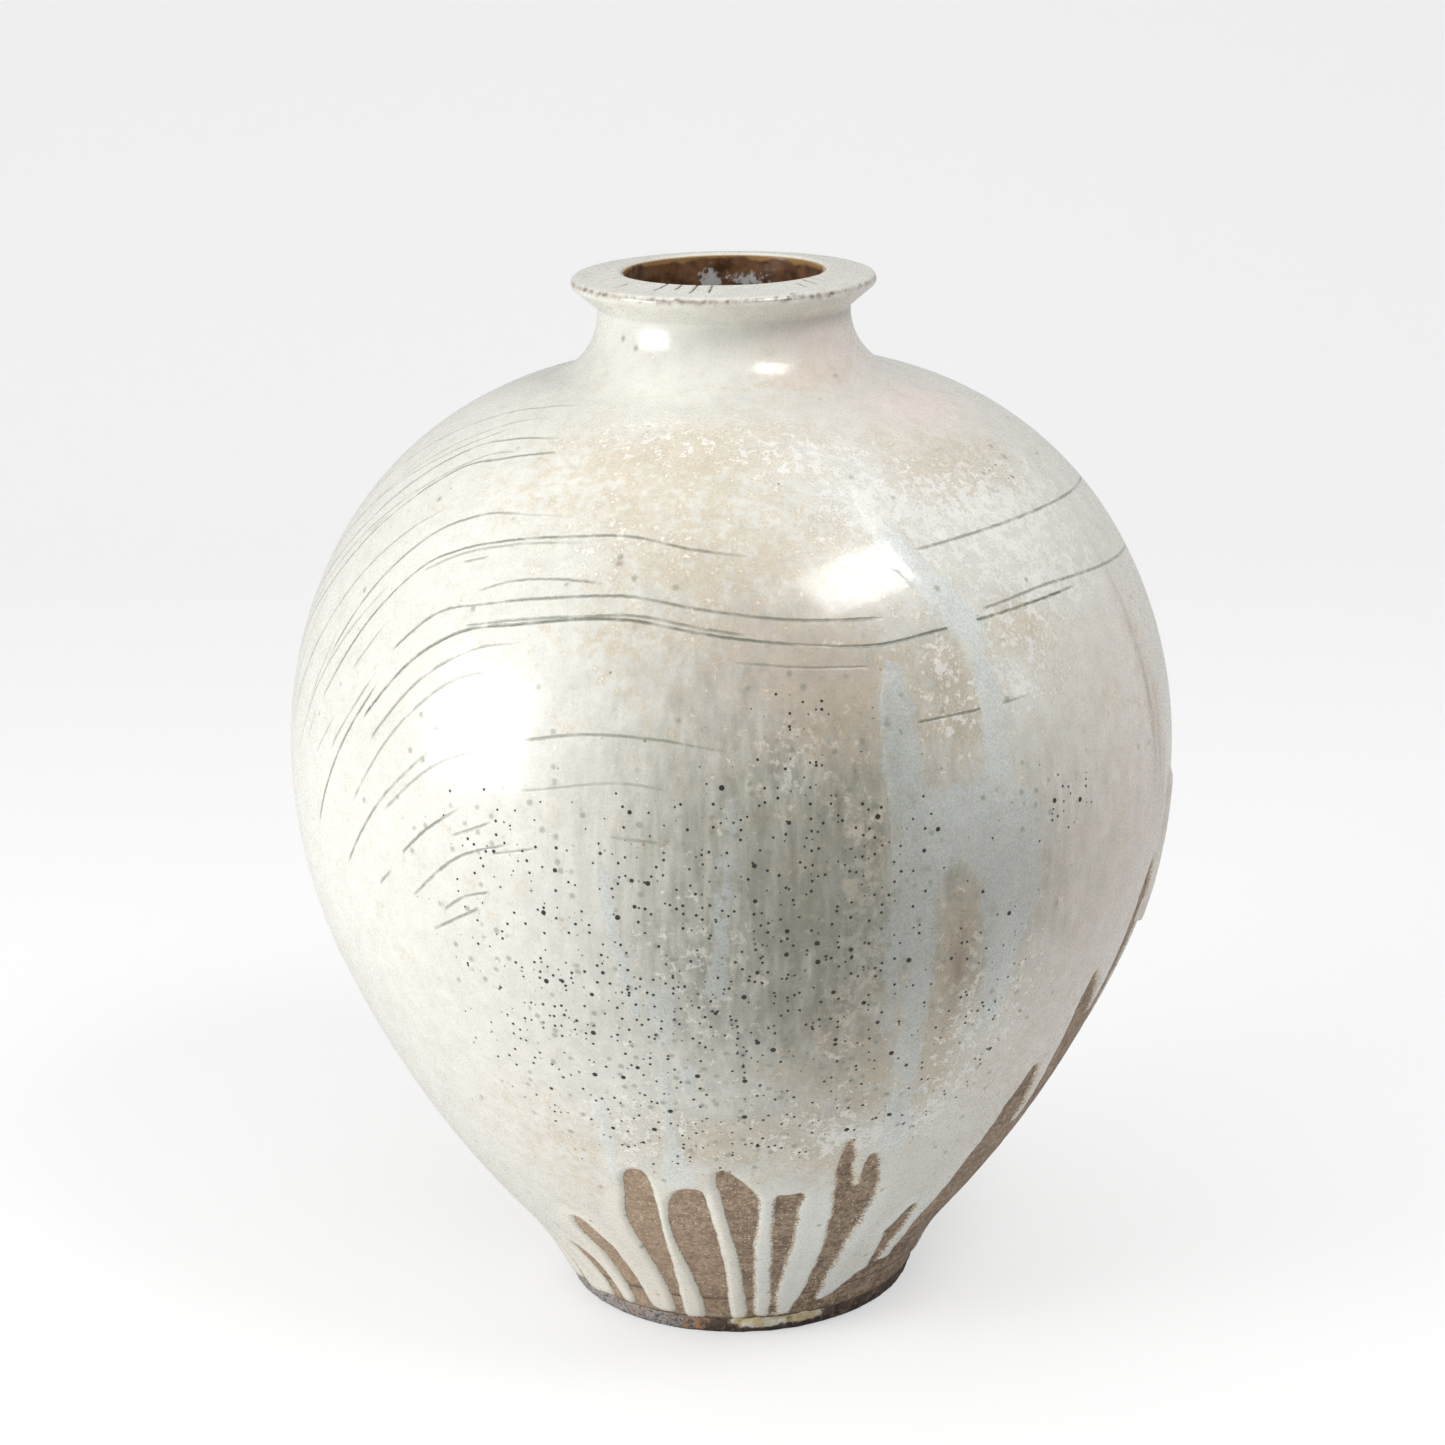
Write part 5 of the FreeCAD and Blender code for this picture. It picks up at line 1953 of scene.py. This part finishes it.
@dataclass
class GlazeRuns:
    """Ash runs that stand proud of the coat, and the hardened drop on the right."""

    wall: Wall
    glaze: GlazeMap
    columns: int = 41
    least_rows: int = 12
    row_step: float = 1.2 * MM
    margin: float = 1.35
    under_mm: float = 0.5
    dip_mm: float = 0.35
    end_dip_mm: float = 0.12
    waver: Grain = Grain(97, 1.6, 0.006, 2)
    runs: tuple[Run, ...] = (
        Run("ash_run_front_skin", "ash_run_front",
            ((330, 20.4, 3.0), (310, 20.6, 7.0), (288, 20.5, 7.5), (262, 21.2, 8.0),
             (235, 21.4, 9.5), (205, 22.3, 7.5), (175, 23.0, 6.0), (145, 23.8, 4.5),
             (118, 24.6, 4.0))),
        Run("ash_run_shoulder_skin", "ash_run_shoulder",
            ((392, 24.6, 5.0), (378, 25.0, 7.0), (364, 26.8, 8.5), (350, 30.4, 8.5),
             (334, 33.4, 6.5), (312, 34.0, 5.5), (288, 34.0, 5.5), (264, 33.6, 5.0))),
        Run("ash_run_side_skin", "ash_run_side",
            ((262, 32.5, 9.0), (238, 33.5, 9.5), (212, 33.8, 7.5), (186, 34.0, 5.0),
             (160, 34.2, 3.0))))
    drop: Run = Run("glaze_drop_bead", "glaze_drop",
                    ((250, 77.6, 0.8), (228, 77.3, 1.2), (206, 76.9, 2.2), (192, 76.6, 3.4),
                     (183, 76.5, 3.9), (178, 76.5, 3.0)), 1.7)
    run_sharp: float = 0.6
    drop_sharp: float = 0.5

    def faces(self, rows: int) -> list[list[int]]:
        """Corner numbers of a skin's face, back and sides, the back's points after the face's.

        Args:
            rows: Rows of points.

        Returns:
            The faces.
        """
        wide, count = self.columns, rows * self.columns
        row, column = np.meshgrid(np.arange(rows - 1), np.arange(wide - 1), indexing="ij")
        corner = (row * wide + column).ravel()
        quads = np.stack([corner, corner + wide, corner + wide + 1, corner + 1], 1)
        edge = np.r_[np.arange(wide - 1), np.arange(rows - 1) * wide + wide - 1,
                     count - 1 - np.arange(wide - 1), np.arange(rows - 1, 0, -1) * wide]
        ahead = np.roll(edge, -1)
        sides = np.stack([edge, ahead, ahead + count, edge + count], 1)
        return np.concatenate([quads, quads[:, ::-1] + count, sides]).tolist()

    def skin(self, run: Run, sharp: float) -> Piece:
        """Closed skin of one run.

        Across a run its height is the coat's plus the proud part times a half round, one less the
        square of the way across, to the power sharp. Past the half width it dips under the coat.

        Args:
            run: The run.
            sharp: That power.

        Returns:
            The piece, with the coat's channels.
        """
        top, bottom = self.wall.up_to([run.stations[0][0], run.stations[-1][0]])
        rows = max(self.least_rows, int((top - bottom) / self.row_step))
        share = np.linspace(0, 1, rows)[:, None]
        s, middle, half = run.along(self.wall, share)
        across = np.linspace(-self.margin, self.margin, self.columns)[None, :]
        wander = 1 + 0.16 * self.waver.at(middle + across, s)
        theta = middle + np.degrees(across * half / self.wall.radius(s))
        s = np.broadcast_to(s, theta.shape)
        profile = np.clip(1 - (across / wander) ** 2, 0, 1) ** sharp
        taper = ease(0, 0.06, share) * ease(1, 0.94, share)
        proud = run.proud_mm * profile * taper
        sunk = -self.dip_mm * ease(0.0, 0.25, np.abs(across) / wander - 1)
        coat = self.glaze.lift(theta, s)
        over = coat + (proud + sunk - self.end_dip_mm * (1 - taper)) * MM
        face = self.wall.points(theta, s, over)
        back = self.wall.points(theta, s, coat - self.under_mm * MM)
        piece = make_piece(run.name, np.concatenate([face, back]), self.faces(rows))
        self.mark(piece, theta, s)
        return piece

    def mark(self, piece: Piece, theta: Array, s: Array) -> None:
        """Carries the coat's channels, the comb marks left plain.

        Args:
            piece: The skin.
            theta: Azimuths of its face.
            s: Lengths of its face along the outline.
        """
        values = {
            Channel.BARE: np.full(theta.shape, FAR_MM),
            Channel.ASH: self.glaze.ash_mm(theta, s),
            **self.glaze.patches(theta, s),
            Channel.BROWN: clouded(BROWN_CLOUDS, self.wall, theta, s),
        }
        for channel, value in values.items():
            carry(piece, channel, np.tile(value.ravel(), 2))

    def build(self, finish: Finish) -> None:
        """Makes every run and the drop."""
        for run in self.runs:
            settle(self.skin(run, self.run_sharp), finish, Slot.RUN, run.node)
        settle(self.skin(self.drop, self.drop_sharp), finish, Slot.RUN, self.drop.node)


def stand(data: bpy.types.ID, axes: tuple[Array, Array, Array], place: Point) -> Piece:
    """New camera or lamp in the scene.

    Args:
        data: The camera's or lamp's own settings, whose name it takes.
        axes: Directions of its right, its top and its back.
        place: Where it stands.

    Returns:
        The object.
    """
    holder = bpy.data.objects.new(data.name, data)
    matrix = np.eye(4)
    matrix[:3, :3] = np.column_stack(axes)
    matrix[:3, 3] = place
    holder.matrix_world = Matrix(matrix.tolist())
    bpy.context.scene.collection.objects.link(holder)
    return holder


@dataclass(frozen=True)
class Viewpoint:
    """Camera that saw the jar: its place, aim and lens, for a square picture."""

    distance: float = 1.442
    height: float = 0.6845
    down: float = 16.45
    yaw: float = -0.148
    roll: float = -1.010
    focal_px: float = 3411.0
    picture_px: float = 1445.0
    sensor_mm: float = 36.0
    reach: float = 40.0

    def build(self) -> None:
        """Makes the camera: forward from yaw and tilt, then rolled about it."""
        yaw, down, roll = (math.radians(a) for a in (self.yaw, self.down, self.roll))
        forward = np.array([math.sin(yaw) * math.cos(down), math.cos(yaw) * math.cos(down),
                            -math.sin(down)])
        level = np.array([math.cos(yaw), -math.sin(yaw), 0.0])
        upright = np.cross(level, forward)
        right = math.cos(roll) * level + math.sin(roll) * upright
        up = -math.sin(roll) * level + math.cos(roll) * upright
        lens = bpy.data.cameras.new("studio_camera")
        lens.sensor_width = self.sensor_mm
        lens.lens = self.sensor_mm * self.focal_px / self.picture_px
        lens.clip_end = self.reach
        place = (0.0, -self.distance, self.height)
        bpy.context.scene.camera = stand(lens, (right, up, -forward), place)


@dataclass(frozen=True)
class SoftBox:
    """Rectangular soft lamp that faces a point of the jar."""

    name: str
    place: Point
    aim: Point
    wide: float
    tall: float
    watts: float

    def build(self) -> None:
        """Makes the lamp, turned so that its face looks at the point."""
        lamp = bpy.data.lights.new(self.name, "AREA")
        lamp.shape = "RECTANGLE"
        lamp.size, lamp.size_y = self.wide, self.tall
        lamp.energy = self.watts
        away = np.array(self.place) - np.array(self.aim)
        away /= np.linalg.norm(away)
        side = np.cross((0.0, 0.0, 1.0), away)
        side /= np.linalg.norm(side)
        stand(lamp, (side, np.cross(away, side), away), self.place)


@dataclass
class Studio:
    """Pale sweep, the white surround and the lamps.

    The room's light grows along each axis of view from a start to an end, up to a gain.
    """

    half_width: float = 4.0
    front: float = -4.0
    wall_at: float = 2.6
    bend: float = 1.2
    top: float = 4.5
    bend_points: int = 25
    grey: float = 0.42
    glow: float = 0.55
    backdrop: float = 0.93
    least_light: float = 0.08
    room: tuple[tuple[Axis, float, float, float], ...] = (
        (Axis.ACROSS, -0.1, -0.95, 0.35), (Axis.UP, 0.15, 0.95, 0.88), (Axis.DEEP, 0.0, 0.9, 0.12))
    lamps: tuple[SoftBox, ...] = (
        SoftBox("left_window", (-1.62, -0.78, 0.62), (-0.08, -0.12, 0.30), 0.85, 0.80, 22.5),
        SoftBox("upper_right", (0.82, -0.74, 1.70), (0.05, -0.15, 0.36), 0.72, 0.46, 12.5))

    def sweep(self) -> Piece:
        """Floor that curves up into a wall: a straight, a quarter round and a straight.

        Returns:
            The piece.
        """
        turn = np.linspace(0, math.pi / 2, self.bend_points)
        depth = np.r_[self.front, self.wall_at - self.bend + self.bend * np.sin(turn), self.wall_at]
        rise = np.r_[0.0, self.bend - self.bend * np.cos(turn), self.top]
        sides = np.linspace(-self.half_width, self.half_width, 3)
        across, depths = np.meshgrid(sides, depth)
        _, rises = np.meshgrid(sides, rise)
        row, column = np.meshgrid(np.arange(len(depth) - 1), np.arange(2), indexing="ij")
        corner = (row * 3 + column).ravel()
        faces = np.stack([corner, corner + 1, corner + 4, corner + 3], 1).tolist()
        return make_piece("studio_sweep", np.stack([across, depths, rises], -1), faces)

    def paper(self) -> Finish:
        """White paper: matt, and for the camera half lit by itself so that only shadows darken it.

        Returns:
            The finish.
        """
        sheet = new_sheet("white_paper")
        seen = sheet.node("LightPath").outputs["Is Camera Ray"]
        tone = sheet.mix(sheet.noise(0.4, 2), srgb(222, 222, 222), srgb(226, 226, 226))
        matt = sheet.node("BsdfDiffuse", {"Color": tone}).outputs[0]
        shaded = sheet.node("BsdfDiffuse", {"Color": opaque(self.grey)}).outputs[0]
        glow = sheet.node("Emission",
                          {"Color": opaque(1.0), "Strength": self.glow}).outputs[0]
        viewed = sheet.node("AddShader", {0: shaded, 1: glow}).outputs[0]
        chosen = sheet.node("MixShader", {0: seen, 1: matt, 2: viewed}).outputs[0]
        sheet.node("OutputMaterial", {"Surface": chosen})
        return sheet.owner

    def surround(self) -> None:
        """The room as the jar sees it: bright on the left and above, darker behind the camera."""
        world = bpy.data.worlds.new("studio")
        bpy.context.scene.world = world
        sheet = Sheet(world)
        way = sheet.node("SeparateXYZ", {0: sheet.coordinates["Generated"]}).outputs
        level = self.least_light
        for axis, start, end, gain in self.room:
            level = sheet.math("ADD", level, sheet.step(start, end, way[axis.value], gain))
        lit = sheet.node("Background",
                         {"Color": opaque(1.0), "Strength": level}).outputs[0]
        white = sheet.node("Background",
                           {"Color": opaque(self.backdrop), "Strength": 1.0}).outputs[0]
        seen = sheet.node("LightPath").outputs["Is Camera Ray"]
        both = sheet.node("MixShader", {0: seen, 1: lit, 2: white}).outputs[0]
        sheet.node("OutputWorld", {"Surface": both})

    def build(self) -> None:
        """Makes the stage."""
        sweep = self.sweep()
        wear(sweep, self.paper())
        for lamp in self.lamps:
            lamp.build()
        self.surround()


def dress_nodes(clay: Finish, slip: Finish) -> None:
    """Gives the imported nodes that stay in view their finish, the clay parts' or the joints'."""
    for name in ("base_disc", "upper_bowl", "neck_collar", "rim_coil"):
        wear(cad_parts[name], clay)
    for joint in ("foot", "floor", "belly", "neck", "rim"):
        wear(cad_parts[f"{joint}_joint_slip"], slip)


def main() -> None:
    """Builds the camera, the studio and every piece of the jar."""
    logging.basicConfig(level=logging.INFO, format="%(message)s")
    bpy.context.scene.view_settings.view_transform = "Standard"
    Viewpoint().build()
    Studio().build()
    wall = Wall(ThrownForm())
    glaze = GlazeMap(wall)
    coat_finish = GlazeFinish().build()
    clay_finish = ClayFinish().build()
    ThrownWall(wall).build(clay_finish)
    GlazeCoat(wall, glaze).build(coat_finish)
    GlazeRuns(wall, glaze).build(coat_finish)
    Liner(wall).build(LinerFinish().build())
    Foot(wall).build(FootFinish().build())
    dress_nodes(clay_finish, SlipFinish().build())


if __name__ == "__main__":
    main()
